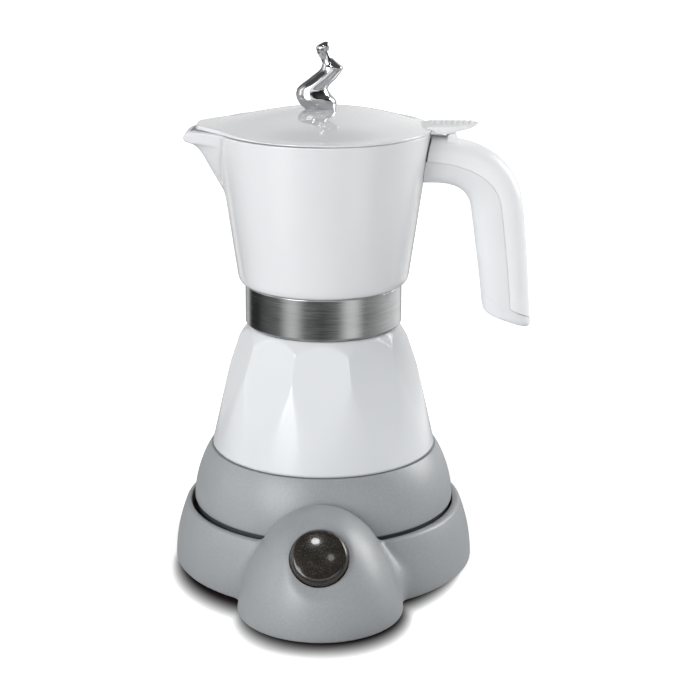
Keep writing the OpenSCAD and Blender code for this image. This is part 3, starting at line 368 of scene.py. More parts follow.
def rounded(corners, steps=6):
    """Outline through corners (x, y, radius), each one rounded to its radius."""
    points = [np.array(c[:2], float) for c in corners]
    line = [points[0]]
    for i in range(1, len(points) - 1):
        radius = corners[i][2]
        before, after = points[i - 1] - points[i], points[i + 1] - points[i]
        before, after = before / np.linalg.norm(before), after / np.linalg.norm(after)
        half = math.acos(np.clip(before @ after, -1, 1)) / 2
        if radius < 0.01 or half > 1.55:
            line.append(points[i])
            continue
        middle = points[i] + (before + after) / np.linalg.norm(before + after) * radius / math.sin(half)
        start = points[i] + before * radius / math.tan(half) - middle
        end = points[i] + after * radius / math.tan(half) - middle
        sweep = math.pi - 2 * half
        for k in range(steps + 1):
            a = sweep * k / steps
            line.append(middle + (math.sin(sweep - a) * start + math.sin(a) * end) / math.sin(sweep))
    return np.array(line + [points[-1]])


def resample(line, n):
    run = np.concatenate([[0], np.cumsum(np.linalg.norm(np.diff(line, axis=0), axis=1))])
    at = np.linspace(0, run[-1], n)
    return np.stack([np.interp(at, run, line[:, i]) for i in range(line.shape[1])], 1)


def smooth_rows(rows, n):
    """Rows of numbers on a smooth curve through the given rows."""
    at = np.linspace(0, len(rows) - 1, n)
    i = np.minimum(at.astype(int), len(rows) - 2)
    t = (at - i)[:, None]
    a, b = rows[np.maximum(i - 1, 0)], rows[i]
    c, d = rows[i + 1], rows[np.minimum(i + 2, len(rows) - 1)]
    bend, twist = 2 * a - 5 * b + 4 * c - d, 3 * b - a - 3 * c + d
    return 0.5 * (2 * b + (c - a) * t + bend * t ** 2 + twist * t ** 3)


def sheet(grid, closed=False):
    """Skin over a grid of points whose rows are rings; closed joins the last row to the first."""
    rows, columns = grid.shape[:2]
    index = np.arange(rows * columns).reshape(rows, columns)
    index = np.hstack([index, index[:, :1]])
    if closed:
        index = np.vstack([index, index[:1]])
    quads = np.stack([index[:-1, :-1], index[:-1, 1:], index[1:, 1:], index[1:, :-1]], -1).reshape(-1, 4)
    return grid.reshape(-1, 3), [tuple(q) for q in quads.tolist()]


def polar(radius, height, angle):
    x, y = radius * np.cos(angle), radius * np.sin(angle)
    return np.stack(np.broadcast_arrays(x, y, height + 0 * angle), -1)


def rings(profile, angle):
    """Rows of a profile (radius, height) at the given angles about the Z axis."""
    profile = np.asarray(profile, float)
    return polar(profile[:, :1], profile[:, 1:], angle)


def turned(profile, columns):
    return rings(profile, full_circle(columns))


def turned_wall(outline, columns):
    """A closed outline (radius, height) turned about the Z axis."""
    return sheet(turned(outline, columns), closed=True)


def cap(ring):
    """A ring drawn together to its middle, which closes an end."""
    return np.repeat(ring.mean(1, keepdims=True), ring.shape[1], 1)


def joined(*shapes):
    verts, faces, start = [], [], 0
    for v, f in shapes:
        verts.append(v)
        faces += [tuple(i + start for i in face) for face in f]
        start += len(v)
    return np.vstack(verts), faces


def slab(outline, y0, y1, bevel=0.4):
    """Closed outline (x, z) drawn out along Y with bevelled ends."""
    outline = np.asarray(outline, float)
    centre = outline.mean(0)
    size = np.abs(outline - centre).max()
    edge = bevel * 0.3
    layers = []
    insets = [(y0, bevel), (y0 + edge, edge), (y0 + bevel, 0),
              (y1 - bevel, 0), (y1 - edge, edge), (y1, bevel)]
    for y, inset in insets:
        ring = centre + (outline - centre) * (1 - inset / size)
        layers.append(np.stack([ring[:, 0], np.full(len(ring), y), ring[:, 1]], 1))
    verts, faces = sheet(np.array(layers))
    n = len(outline)
    return verts, faces + [tuple(range(n)), tuple(range(5 * n, 6 * n))]


def new_mesh(name, shape, at=None):
    verts, faces = shape
    mesh = bpy.data.meshes.new(name)
    mesh.from_pydata((np.asarray(verts) * MM).tolist(), [], faces)
    if at is not None:
        mesh.transform(at)
    work = bmesh.new()
    work.from_mesh(mesh)
    bmesh.ops.remove_doubles(work, verts=work.verts, dist=1e-6)
    bmesh.ops.recalc_face_normals(work, faces=work.faces)
    work.to_mesh(mesh)
    work.free()
    return mesh


def smooth_faces(mesh, crease):
    mesh.shade_smooth()
    mesh.set_sharp_from_angle(angle=math.radians(crease))


def even_shading(piece):
    shading = piece.modifiers.new("even_shading", "WEIGHTED_NORMAL")
    shading.keep_sharp = True


def make(name, shape, body, slot, nodes=(), crease=CREASE, at=None, even=True):
    """A piece that rides on a body, takes its finish from a slot and stands for CAD nodes."""
    mesh = new_mesh(name, shape, at)
    smooth_faces(mesh, crease)
    mesh.materials.append(FINISHES[slot].material)
    piece = add_object(name, mesh)
    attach(piece, body)
    if nodes:
        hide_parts(*nodes)
    if even:
        even_shading(piece)
    return piece


def drill(piece, radius, length, at):
    """Cuts a round bore into a piece."""
    end = length / 2
    mesh = new_mesh("drill", sheet(turned([(0, -end), (radius, -end), (radius, end), (0, end)], 96)), at)
    bit = add_object("drill", mesh)
    cut = piece.modifiers.new("cut", "BOOLEAN")
    cut.operation, cut.solver, cut.object = "DIFFERENCE", "EXACT", bit
    bpy.context.view_layer.update()
    bpy.context.view_layer.objects.active = piece
    with bpy.context.temp_override(object=piece, active_object=piece, selected_objects=[piece]):
        bpy.ops.object.modifier_apply(modifier="cut")
    bpy.data.objects.remove(bit)
    bpy.data.meshes.remove(mesh)
    smooth_faces(piece.data, CREASE)


# Power base

BUTTON_POINT = np.array([0, -97.506, 38.611])
BUTTON_AXIS = np.array([0, -0.76604, 0.64279])
AT_BUTTON = Matrix.Translation(BUTTON_POINT * MM) @ Matrix.Rotation(math.radians(50), 4, "X")
AT_VALVE = Matrix.Translation((0, 0, 0.1)) @ Matrix.Rotation(math.radians(-90), 4, "X")
AT_CORD_INLET = Matrix.Translation((0, 0.0725, 0.0092)) @ Matrix.Rotation(math.radians(90), 4, "X")
BASE_LOW = 0.8
RING_RADIUS, RING_FLARE, RING_TOP = 74.3, 6.2, 30.5
MOUND_RADIUS, MOUND_HEIGHT, MOUND_AHEAD = 39.6, 50.3, 70.5
BUTTON_FLAT_DEPTH = 4.6
LIP_RADIUS, INNER_RADIUS = 66.9, 68.1
SKIN = 2.4
DECK_TOP, DECK_UNDER, DECK_HOLE = 16, 13.6, 11.1


def base_field(x, y, z):
    """Distance outside the base housing's skin: flared ring and mound, with the button's flat."""
    rise = z - BASE_LOW
    flare = RING_RADIUS - RING_FLARE * (rise / (RING_TOP - BASE_LOW)) ** 2
    ring = smooth_max((np.hypot(x, y) - flare) * 0.96, z - RING_TOP, 1.6)
    side = x * (1.01 + 0.10 * np.clip(rise / 30, 0, 1))
    run = side ** 2 + (y + MOUND_AHEAD) ** 2
    near = np.sqrt(run / MOUND_RADIUS ** 2 + (rise / MOUND_HEIGHT) ** 2)
    steep = np.sqrt(run / MOUND_RADIUS ** 4 + rise ** 2 / MOUND_HEIGHT ** 4)
    mound = near * (near - 1) / np.maximum(steep, 1e-9)
    both = smooth_min(ring, mound, 2.5 + 7 * np.exp(-((z - 14) / 9.5) ** 2))
    ahead, up = (y - BUTTON_POINT[1]) * BUTTON_AXIS[1], (z - BUTTON_POINT[2]) * BUTTON_AXIS[2]
    return smooth_max(both, ahead + up + BUTTON_FLAT_DEPTH, 1.2)


def base_trace(start_r, angle, lift, level):
    """Radius and height at which rays from a low point near the ring leave the skin."""
    low = np.zeros(np.broadcast(angle, lift).shape)
    high = np.full(low.shape, 130.0)
    for _ in range(34):
        mid = (low + high) / 2
        r, z = start_r + mid * np.cos(lift), BASE_LOW + mid * np.sin(lift)
        inside = base_field(r * np.cos(angle), r * np.sin(angle), z) < level
        low, high = np.where(inside, mid, low), np.where(inside, high, mid)
    return start_r + low * np.cos(lift), BASE_LOW + low * np.sin(lift)


def base_housing():
    angle = np.radians(-90 + 180 * crowded(480, 0.35))
    sweep = 1 - (1 - np.linspace(0, 1, 420)) ** 3
    out_r, out_z = base_trace(66.2, angle[:, None], QUARTER * sweep[None, :], 0)
    in_r, in_z = base_trace(INNER_RADIUS, angle[:, None], QUARTER * np.linspace(1, 0, 24)[None, :], -SKIN)
    lip_turn = np.linspace(0.2, 1, 6)[:, None] * QUARTER
    well_turn = np.linspace(0, -1, 6)[:, None] * QUARTER
    deck = np.array([
        (58, DECK_TOP), (40, DECK_TOP), (20, DECK_TOP), (11.6, DECK_TOP), (DECK_HOLE, 15.6),
        (DECK_HOLE, DECK_UNDER), (40, DECK_UNDER), (INNER_RADIUS, DECK_UNDER)])
    foot_round = 1.0
    foot_top = BASE_LOW + foot_round
    loops = []
    for i in range(len(angle)):
        keep = out_r[i] >= LIP_RADIUS
        line = np.stack([out_r[i][keep], out_z[i][keep]], 1)
        low = line[:, 1] < foot_top
        line[low, 0] -= foot_round - np.sqrt(np.maximum(1 - (foot_top - line[low, 1]) ** 2, 0))
        line = resample(line, 130)
        top = line[-1, 1]
        wide = 65.3 - 0.6 * math.cos(angle[i])
        drop = 0.75 - 0.45 * math.cos(angle[i])
        lip = np.hstack([LIP_RADIUS - (LIP_RADIUS - wide) * np.sin(lip_turn),
                         top - drop + drop * np.cos(lip_turn)])
        well = np.hstack([wide - 1 + np.cos(well_turn), DECK_TOP + 1 + np.sin(well_turn)])
        loops.append(np.vstack([line, lip, well, deck, np.stack([in_r[i], in_z[i]], 1)]))
    loops = np.array(loops).transpose(1, 0, 2)
    shape = sheet(polar(loops[..., 0], loops[..., 1], angle[None, :]), closed=True)
    piece = make("base_housing", shape, "power_base", "grey_plastic", ["base_shell"], even=False)
    drill(piece, radius=13.8, length=40, at=AT_BUTTON)
    drill(piece, radius=5.1, length=20, at=AT_CORD_INLET)
    even_shading(piece)


def coil_spring(name, radius, wire, turns, low, high, at, body, node):
    """Spring of round wire along its Z axis, from low to high over the wire's outside."""
    steps, sides = 24 * turns, 10
    turn = np.linspace(0, FULL_TURN * turns, steps + 1)[:, None]
    rise = np.linspace(low + wire, high - wire, steps + 1)[:, None]
    section = full_circle(sides)
    verts, faces = sheet(polar(radius + wire * np.cos(section), rise + wire * np.sin(section), turn))
    ends = [tuple(range(sides)), tuple(range(steps * sides, (steps + 1) * sides))]
    return make(name, (verts, faces + ends), body, "spring_steel", [node], at=at, even=False)


def springs():
    push = coil_spring("push_spring", radius=4, wire=0.4, turns=4, low=-22.2, high=-14.7,
                       at=AT_BUTTON, body="power_base", node="button_spring")
    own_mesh(push)
    valve = coil_spring("stem_spring", radius=1.8, wire=0.25, turns=5, low=38.5, high=45.1,
                        at=AT_VALVE, body="heated_pot", node="valve_spring")
    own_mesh(valve)


def button_lens():
    edge = bezier([(12.95, -2.25), (12.85, -1.2), (12.3, -0.4), (11.0, -0.07)], 16)
    dome_radius = 60
    turn = np.arcsin(np.linspace(11.0, 0, 16)[1:, None] / dome_radius)
    dome = np.hstack([dome_radius * np.sin(turn), dome_radius * np.cos(turn) - 59.05])
    skirt = rounded([(11.6, -12.5, 0), (13.4, -12.5, 0.4), (13.4, -2.9, 0.3), (13.15, -2.45, 0)])
    inside = [(0, -2.6), (6, -2.8), (10.6, -4.2), (11.6, -5.6)]
    shape = turned_wall(np.vstack([skirt, edge, dome, inside]), 96)
    make("button_dome", shape, "push_button", "smoked_lens", ["button_lens"], at=AT_BUTTON)


# Heater skirt and boiler

def heater_skirt():
    # A dark sleeve under the skirt's foot, inside the ring's gap: a dark part put there as painted shade,
    # so that the gap reads dark.
    sleeve = rounded([(60.2, 24, 0), (60.2, 16.3, 0.3), (63.2, 16.3, 0.9), (63.2, 31.1, 0.1),
                      (60.2, 31.1, 0.1), (60.2, 25, 0)])
    make("painted_shade_sleeve", turned_wall(sleeve, 160), "heated_pot", "dark_plastic")
    foot = rounded([(60.2, 32, 0), (60.2, 31.2, 0.2), (64.3, 31.2, 1.1), (64.3, 33, 0)])
    side = bezier([(64.3, 34), (64.0, 41), (61.1, 51.5), (56.1, 59.0)], 40)
    rim = rounded([(55.9, 59.3, 0), (55.4, 59.9, 0.35), (55.25, 59.2, 0.1), (52, 59.2, 0)])
    ledge = [(46.5, 59.2), (46.5, 57.1)]
    inner = bezier([(54.4, 57.1), (58.6, 49.4), (60.4, 40.5), (60.2, 33)], 24)
    post, post_faces = turned_wall([(1.4, 18.8), (5, 18.8), (5, 30.7), (1.4, 30.7)], 32)
    post_circle = 57.9
    posts = []
    for turn in np.radians([90, 210, 330]):
        centre = np.array([post_circle * math.cos(turn), post_circle * math.sin(turn), 0])
        posts.append((post + centre, post_faces))
    shape = joined(turned_wall(np.vstack([foot, side, rim, ledge, inner]), 192), *posts)
    make("heater_skirt", shape, "heated_pot", "grey_plastic", ["skirt"])


def boiler_shell():
    angle = full_circle(380)
    facet_half = math.pi / 10
    foot = rounded([(0, 59.4, 0), (54.4, 59.4, 0.9), (54.92, 60.7, 0)])
    z = np.concatenate([np.linspace(60.9, 110, 84), np.linspace(110.3, 120.3, 60)])[:, None]
    off = np.abs((angle + QUARTER + facet_half) % (math.pi / 5) - facet_half)
    # each face by its radius at one height and its slope
    facet = (41.466 + (107 - z) * 0.3191) / np.cos(off)
    cone = 54.9 - 0.2283 * (z - 60.8)
    shoulder = 41.2 - 0.74 * (z - 114.5)
    side = smooth_min(cone, facet, np.interp(z, [75, 105], [1.1, 0.25]))
    side = smooth_min(side, shoulder, 0.45)
    top = [(36.3, 120.9), (34, 121.0)]
    neck_low, neck_high, pitch = 121.2, 131.6, 4
    neck_z = np.linspace(neck_low, neck_high, 54)[:, None]
    wave = ((neck_z - neck_low) / pitch - angle / FULL_TURN) % 1
    ridge = np.clip(1.9 - 5 * np.abs(wave - 0.5), 0, 1)
    fade = np.clip((neck_z - 121.8) / 1.5, 0, 1) * np.clip((131.2 - neck_z) / 1.5, 0, 1)
    mouth = rounded([(31.6, 131.8, 0), (31.2, 132, 0.2), (28.5, 132, 0.5), (28.5, 118, 0)])
    inner_shoulder = bezier([(28.5, 116.5), (35.5, 115), (38.6, 110), (39.6, 105)], 14)
    inner_side = bezier([(39.6, 105), (43, 92), (47.6, 77.4), (50.9, 66.4)], 18)[1:]
    floor = [(48.9, 63.8), (47, 63.4), (0, 63.4)]
    grid = np.vstack([
        rings(foot, angle), polar(side, z, angle), rings(top, angle),
        polar(31.7 + 0.98 * ridge * fade, neck_z, angle),
        rings(np.vstack([mouth, inner_shoulder, inner_side, floor]), angle)])
    make("boiler_shell", sheet(grid), "heated_pot", "white_enamel", ["boiler"], crease=30)


def valve_boss():
    outline = rounded([(4.1, 41.0, 0), (4.1, 46.1, 0.3), (7, 46.1, 0.8), (7.2, 44.4, 0), (8.6, 43.0, 0),
                       (8.6, 41, 0)])
    make("valve_boss", turned_wall(outline, 64), "heated_pot", "white_enamel", at=AT_VALVE)


# Jug, collar and lid

JUG_LOW, JUG_RIM = 148.3, 215.1
JUG_LOW_RADIUS = 41.8
SPOUT_LOW, SPOUT_TALL, SPOUT_HALF = 180.1, 36, 21
LID_EDGE = 0.7

# height, reach of the spout's ridge
SPOUT_RIDGE = np.array([
    (176, 45.2), (181.6, 46.8), (186.0, 48.44), (190.4, 50.76), (194.8, 53.06), (199.1, 55.25),
    (203.5, 57.54), (206.4, 59.38), (207.8, 60.64), (209.0, 62.2), (209.7, 64.0), (210.2, 65.6),
    (210.7, 66.5), (211.4, 66.75), (217, 66.75)])

# height, middle, half width
KNOB_ROWS = np.array([
    (225.2, -1.2, 7.0), (226.2, -1.6, 7.6), (227.8, -2.4, 8.6), (229.5, -3.0, 9.0), (231.0, -3.8, 8.9),
    (232.7, -4.75, 8.25), (234.2, -5.1, 7.6), (235.3, -5.2, 7.2), (236.5, -4.4, 7.0), (237.8, -3.1, 6.8),
    (240.0, -0.5, 6.4), (241.7, 1.2, 6.0), (243.3, 2.9, 5.6), (244.7, 3.9, 5.25), (245.7, 4.1, 5.0),
    (247.0, 3.4, 3.95), (248.1, 2.6, 3.4), (249.3, 1.67, 2.98), (250.6, 0.7, 2.8), (252.2, -0.12, 2.88),
    (253.4, -0.4, 2.9), (254.1, -0.45, 3.05), (254.7, -0.37, 3.03), (255.4, -0.1, 2.8),
    (256.0, 0.28, 2.38), (256.6, 0.75, 1.75), (257.2, 1.08, 0.88)])


def steel_collar():
    outline = rounded([
        (36.8, 130, 0), (36.8, 121.8, 0.3), (37.6, 121.8, 0.4), (38, 122.6, 0.5), (38, 132, 0),
        (38, 141.4, 0.5), (37.5, 142.2, 0.4), (36.8, 142.2, 0.3), (36.8, 132, 0)])
    make("steel_collar", turned_wall(outline, 256), "jug_set", "collar_steel", ["screw_collar"])


def jug_radius(z):
    return JUG_LOW_RADIUS + 0.14307 * (z - JUG_LOW)


def jug_outline(turn, z):
    """Radius of the jug's outer face, turn measured from the spout."""
    round_r = jug_radius(z)
    rise = np.clip((z - SPOUT_LOW) / SPOUT_TALL, 0, 1)
    crease_y = SPOUT_HALF * rise + 1e-6
    crease_x = np.sqrt(round_r ** 2 - crease_y ** 2)
    ridge = np.interp(z, SPOUT_RIDGE[:, 0], SPOUT_RIDGE[:, 1])
    apex = crease_x + (ridge - crease_x) * (1.15 + 0.31 * rise)
    side, ahead = np.abs(np.sin(turn)), np.maximum(np.cos(turn), 0.2)
    flank = crease_y * apex / (side * (apex - crease_x) + crease_y * np.cos(turn))
    slope = np.clip(side / ahead, 0, 1)
    tip = (ridge - (ridge * slope) ** 2 / 60) / ahead
    spout = smooth_min(flank, tip, 3)
    near = (np.abs(turn) < np.arctan2(crease_y, crease_x) + 0.12) & (z > 180.4)
    return smooth_max(round_r + 0 * spout, np.where(near, spout, 0), 1.5)


def surface_normals(grid):
    down = np.gradient(grid, axis=0)
    across = np.roll(grid, -1, 1) - np.roll(grid, 1, 1)
    normal = np.cross(across, down)
    return normal / np.maximum(np.linalg.norm(normal, axis=2, keepdims=True), 1e-9)


def jug_turns():
    """Turns from the spout all round, crowded about the spout."""
    return (math.pi * crowded(420, 0.3))[None, :]


def jug():
    turn = jug_turns()
    angle = turn + math.pi
    wall_thickness, rim_round = 2.3, 0.95
    rim = jug_outline(turn, np.full_like(turn, JUG_RIM))
    reach = np.clip((rim * np.cos(turn) - 61.4) / 5.4, 0, 1)
    rim_z = JUG_RIM - 4.6 * (1 - np.sqrt(1 - reach ** 2))
    share = (1 - (1 - np.linspace(0, 1, 130)) ** 2.0)[:, None]
    z = JUG_LOW + (rim_z - JUG_LOW) * share
    wall = polar(jug_outline(turn, z), z, angle)
    inner = wall - wall_thickness * surface_normals(wall)
    middle, half = (wall[-1] + inner[-1]) / 2, (wall[-1] - inner[-1]) / 2
    ahead = wall[-1] - wall[-3]
    ahead /= np.linalg.norm(ahead, axis=1, keepdims=True)
    edge = []
    for a in np.linspace(0, math.pi, 15)[1:-1]:
        across = math.copysign(abs(math.cos(a)) ** 0.4, math.cos(a))
        edge.append(middle + half * across + ahead * rim_round * math.sin(a) ** 0.4)
    under = bezier([(38.6, 142.3), (41, 142.5), (41.5, 145.7), (JUG_LOW_RADIUS, JUG_LOW)], 14)[:-1]
    foot = np.vstack([[(8.1, 142.3), (20, 142.3), (38.0, 142.3)], under])
    corner = bezier([(39.2, 147.4), (39.0, 146.0), (38, 145.1), (36, 145.1)], 6)
    floor = np.vstack([corner, [(20, 145.1), (8.1, 145.1)]])
    grid = np.vstack([rings(foot, angle), wall, np.array(edge), inner[::-2], rings(floor, angle)])
    make("jug", sheet(grid, closed=True), "jug_set", "white_gloss", ["jug_body"], crease=50, even=False)


def lid_edge(turn):
    """Radius of the lid's edge, turn measured from the beak."""
    cos, sin = np.maximum(np.cos(turn), 0.2), np.abs(np.sin(turn))
    beak = smooth_min(1058.2 / (16 * cos + 13.8 * sin), 60.1 / cos, 2)
    return smooth_max(51.7 + 0 * beak, np.where(np.abs(turn) < 0.56, beak, 0), 1.2)


def domed_lid():
    turn = jug_turns()
    angle = turn + math.pi
    edge = lid_edge(turn)
    dome = bezier([(51.2, 217.55), (43.4, 218.6), (29.5, 226.0), (0, 225.7)], 120)[::-1]
    share = (np.linspace(0, 1, 90) ** 0.85)[:, None]
    r = share * (edge - LID_EDGE)
    lift = np.clip((r * np.cos(turn) - 22) / 32, 0, 1)
    top = np.interp(r, dome[:, 0], dome[:, 1]) + 1.4 * lift ** 2 * (3 - 2 * lift)
    a = np.linspace(0, QUARTER, 6)[1:, None]
    low = rounded([(0, 216.8, 0), (0, 216.4, 0.2), (-3, 216.4, 0)], 4)[:-1]
    open_side = 0.5 * np.clip(0.3 + np.cos(turn), 0, 1)
    collar = rounded([(48.6, 216.4, 0), (48, 216.4, 0.4), (48, 213.4, 0.4), (46.4, 213.4, 0.4),
                      (46.4, 216.6, 0)])
    inner = bezier([(45.8, 217.0), (34.1, 219.8), (20.2, 222.7), (1.9, 222.7)], 20)
    grid = np.vstack([
        polar(r, top, angle),
        polar(edge - LID_EDGE + LID_EDGE * np.sin(a), top[-1:] - 0.5 + 0.5 * np.cos(a), angle),
        polar(edge + low[:, :1], low[:, 1:] + open_side, angle),
        rings(np.vstack([collar, inner, [(1.9, 224.4)]]), angle)])
    make("domed_lid", sheet(grid), "lid_set", "white_gloss", ["lid"], crease=40)


def flame_knob():
    rows = smooth_rows(KNOB_ROWS, 168)
    z, middle, half = rows[:, :1], rows[:, 1:2], rows[:, 2:]
    turn = full_circle(144)
    deep = np.interp(z, [225.2, 231], [0.62, 0.85])
    grid = np.stack([middle + half * np.cos(turn), deep * half * np.sin(turn), z + 0 * turn], -1)
    tip = cap(grid[-1:]) + (0, 0, 0.15)
    shape = sheet(np.vstack([cap(grid[:1]), grid, tip]))
    make("flame_knob", shape, "lid_set", "chrome", ["lid_knob"], crease=75, even=False)


# Lever and hinge

HINGE_X, HINGE_Z, HINGE_ROOM = 61.1, 212.9, 2.75
KNUCKLE, KNUCKLE_HALF = 2.4, 4.4
LEVER_START, LEVER_END, LEVER_LONG = 46.2, 73.4, 27.2
RIBS, RIB_FIRST, RIB_STEP, RIB_HALF, RIB_RISE, RIB_SIDE = 8, 70.0, 2.7, 0.85, 0.6, 4.9


def hinge_arc(turn):
    return np.stack([HINGE_X + KNUCKLE * np.cos(turn), HINGE_Z + KNUCKLE * np.sin(turn)], 1)


def thumb_lever():
    share = np.linspace(0, 1, 150)
    x = LEVER_START + LEVER_LONG * (1 - (1 - share) ** 1.25)
    under = np.interp(x, [LEVER_START, 58.7, 69.6, LEVER_END], [214.2, 214.8, 217.4, 218.9])
    over = np.interp(x, [LEVER_START, 50.0, LEVER_END], [218.6, 219.4, 219.4])
    plan = np.vstack([
        bezier([(LEVER_START, 7.4), (47.5, 8.8), (52.0, 9.2), (57.0, 8.9)], 40),
        bezier([(57.0, 8.9), (68.0, 8.3), (LEVER_END, 5), (LEVER_END, 0.3)], 60)[1:]])
    half = np.interp(x, plan[:, 0], plan[:, 1])
    a = full_circle(88)
    sin = np.sin(a)
    y = half[:, None] * squarer(np.cos(a), 0.36)
    mid, tall = (over + under)[:, None] / 2, (over - under)[:, None] / 2
    z = mid + tall * squarer(sin, 0.45)
    lid_radius, lid_top = 52.1, 216.9
    on_lid = np.hypot(x[:, None], y) < lid_radius
    z = np.where(on_lid, np.maximum(z, lid_top), z)
    ribs = 0
    for k in range(RIBS):
        ribs = ribs + np.sqrt(np.clip(1 - ((x - (RIB_FIRST - RIB_STEP * k)) / RIB_HALF) ** 2, 0, 1))
    fade = np.clip((RIB_SIDE - np.abs(y)) / 0.5, 0, 1)
    z = z + np.where(sin > 0.3, RIB_RISE * ribs[:, None] * fade, 0)
    room = np.sqrt(np.clip(HINGE_ROOM ** 2 - (x - HINGE_X) ** 2, 0, None))[:, None]
    z = np.where((np.abs(y) > KNUCKLE_HALF) & (room > 0), np.maximum(z, HINGE_Z + room), z)
    grid = np.stack([x[:, None] + 0 * y, y, z], -1)
    blade = sheet(np.vstack([cap(grid[:1]), grid, cap(grid[-1:])]))
    knuckle = slab(hinge_arc(full_circle(40)[0]), -KNUCKLE_HALF, KNUCKLE_HALF)
    make("ribbed_lever", joined(blade, knuckle), "lid_set", "white_satin", ["thumb_lever"],
         crease=44, even=False)


def hinge_lug(y0, y1):
    foot = [(HINGE_X - KNUCKLE, 210.2), (HINGE_X + KNUCKLE, 209.8)]
    return slab(np.vstack([hinge_arc(np.linspace(0, math.pi, 17)), foot]), y0, y1, 0.3)


def hinge_rod():
    outline = rounded([(0, -6.6, 0), (1.2, -6.6, 0.3), (1.2, 6.6, 0.3), (0, 6.6, 0)])
    at = Matrix.Translation((HINGE_X * MM, 0, HINGE_Z * MM)) @ Matrix.Rotation(math.radians(90), 4, "X")
    make("hinge_rod", sheet(turned(outline, 40)), "jug_set", "screw_steel", ["hinge_pin"], at=at)


# Handle

HANDLE_START, HANDLE_TOP = 51.5, 216.1
HANDLE_HALF, HANDLE_WALL, HANDLE_SQUARE = 10.5, 2.4, 0.78
HANDLE_LOW = 120.1
SEAM_GAP, SEAM_ROUND = 0.05, 0.1
HANDLE_OUTER = [
    [(-6.5, 2.3), (22.0, 2.4), (40.2, 12.0), (44.0, 34)],
    [(44.0, 34), (46.3, 51), (47.9, 73), (49.2, 91.3)]]
HANDLE_SEAM = [
    [(-6.5, 13.8), (14.5, 13.6), (31, 21), (33.1, 35.2)],
    [(33.1, 35.2), (35, 48), (37.3, 68), (38.9, 86.7)]]
HANDLE_INNER = [
    [(-6.5, 25.5), (7, 24.8), (16.4, 25.4), (19.1, 36.5)],
    [(19.1, 36.5), (21.1, 50), (23.4, 66), (25.1, 80.7)]]


def handle_point(parts, s):
    """Points of a two-part handle curve in the plane of spout and handle, s from 0 at the jug to 2."""
    s = np.asarray(s, float)
    t = np.where(s < 1, s, s - 1)[..., None]
    p = np.where((s < 1)[..., None, None], np.array(parts[0], float), np.array(parts[1], float))
    line = ((1 - t) ** 3 * p[..., 0, :] + 3 * (1 - t) ** 2 * t * p[..., 1, :]
            + 3 * (1 - t) * t ** 2 * p[..., 2, :] + t ** 3 * p[..., 3, :])
    return np.stack([HANDLE_START + line[..., 0], HANDLE_TOP - line[..., 1]], -1)


def handle_strand(face, s, a, wall):
    """Points of a half section at angles a, from the seam (0) over the face to the seam (pi)."""
    seam, tip = handle_point(HANDLE_SEAM, s), handle_point(face, s)
    out = tip - seam
    depth = np.linalg.norm(out, axis=-1)
    cos, sin = np.cos(a), np.sin(a)
    side = (HANDLE_HALF - wall) * squarer(cos, HANDLE_SQUARE)
    up = SEAM_GAP + (depth - wall - SEAM_GAP) * np.abs(sin) ** HANDLE_SQUARE
    if wall == 0:
        below = np.clip(SEAM_GAP + SEAM_ROUND - up, 0, SEAM_ROUND)
        side = side - np.sign(cos) * (SEAM_ROUND - np.sqrt(np.clip(SEAM_ROUND ** 2 - below ** 2, 0, None)))
    plane = seam + out / depth[..., None] * up[..., None]
    return np.stack([plane[..., 0], side, plane[..., 1]], -1)


def handle_channel(face, s_end, slit):
    """Trough of one handle half, cut to the jug's side with a slit."""
    steps, arc = 90, 56
    angles = math.pi * (0.5 - 0.5 * np.cos(np.linspace(0, math.pi, arc)))
    skins = []
    for wall, a in ((0, angles), (HANDLE_WALL, angles[::-1])):
        low, high = np.zeros(arc), np.full(arc, 0.6)
        for _ in range(30):
            mid = (low + high) / 2
            p = handle_strand(face, mid, a, wall)
            inside = np.hypot(p[:, 0], p[:, 1]) < jug_radius(p[:, 2]) + slit
            low, high = np.where(inside, mid, low), np.where(inside, high, mid)
        s = high[None, :] + (s_end - high[None, :]) * np.linspace(0, 1, steps)[:, None]
        skins.append(handle_strand(face, s, a[None, :] + 0 * s, wall))
    verts, faces = sheet(np.concatenate(skins, 1))
    n = 2 * arc
    for k in range(arc - 1):
        for start in (0, (steps - 1) * n):
            faces.append((start + k, start + k + 1, start + n - 2 - k, start + n - 1 - k))
    return verts, faces


def handle_cover():
    shape = joined(handle_channel(HANDLE_OUTER, 1.985, 0.6), hinge_lug(4.7, 6.7), hinge_lug(-6.7, -4.7))
    make("handle_cover_shell", shape, "jug_set", "white_satin", ["handle_cover"], crease=40)


def handle_foot():
    """Rounded end of the handle: rows of the inner and the outer point and the half width."""
    start = handle_point(HANDLE_INNER, 1.96)
    a, b = handle_point(HANDLE_INNER, 2.0), handle_point(HANDLE_OUTER, 2.0)
    rows = smooth_rows(np.array([
        (*start, *b, HANDLE_HALF),
        (a[0] + 0.8, HANDLE_LOW + 9.8, b[0] + 0.3, HANDLE_LOW + 2, HANDLE_HALF),
        (a[0] + 2.6, HANDLE_LOW + 7.1, b[0] - 0.6, HANDLE_LOW + 0.3, 9.03),
        (a[0] + 6.4, HANDLE_LOW + 5.4, b[0] - 3.2, HANDLE_LOW, 6.3)]), 34)
    t = full_circle(96)
    lift = squarer(np.sin(t), HANDLE_SQUARE)
    mid, half = (rows[:, :2] + rows[:, 2:4]) / 2, (rows[:, 2:4] - rows[:, :2]) / 2
    grid = np.stack([mid[:, :1] + half[:, :1] * lift, rows[:, 4:] * squarer(np.cos(t), HANDLE_SQUARE),
                     mid[:, 1:] + half[:, 1:] * lift], -1)
    last = grid[-1:].mean(1, keepdims=True)
    end = [last + (grid[-1:] - last) * k for k in (0.75, 0.4, 0.0)]
    return sheet(np.vstack([cap(grid[:1]), grid, *end]))


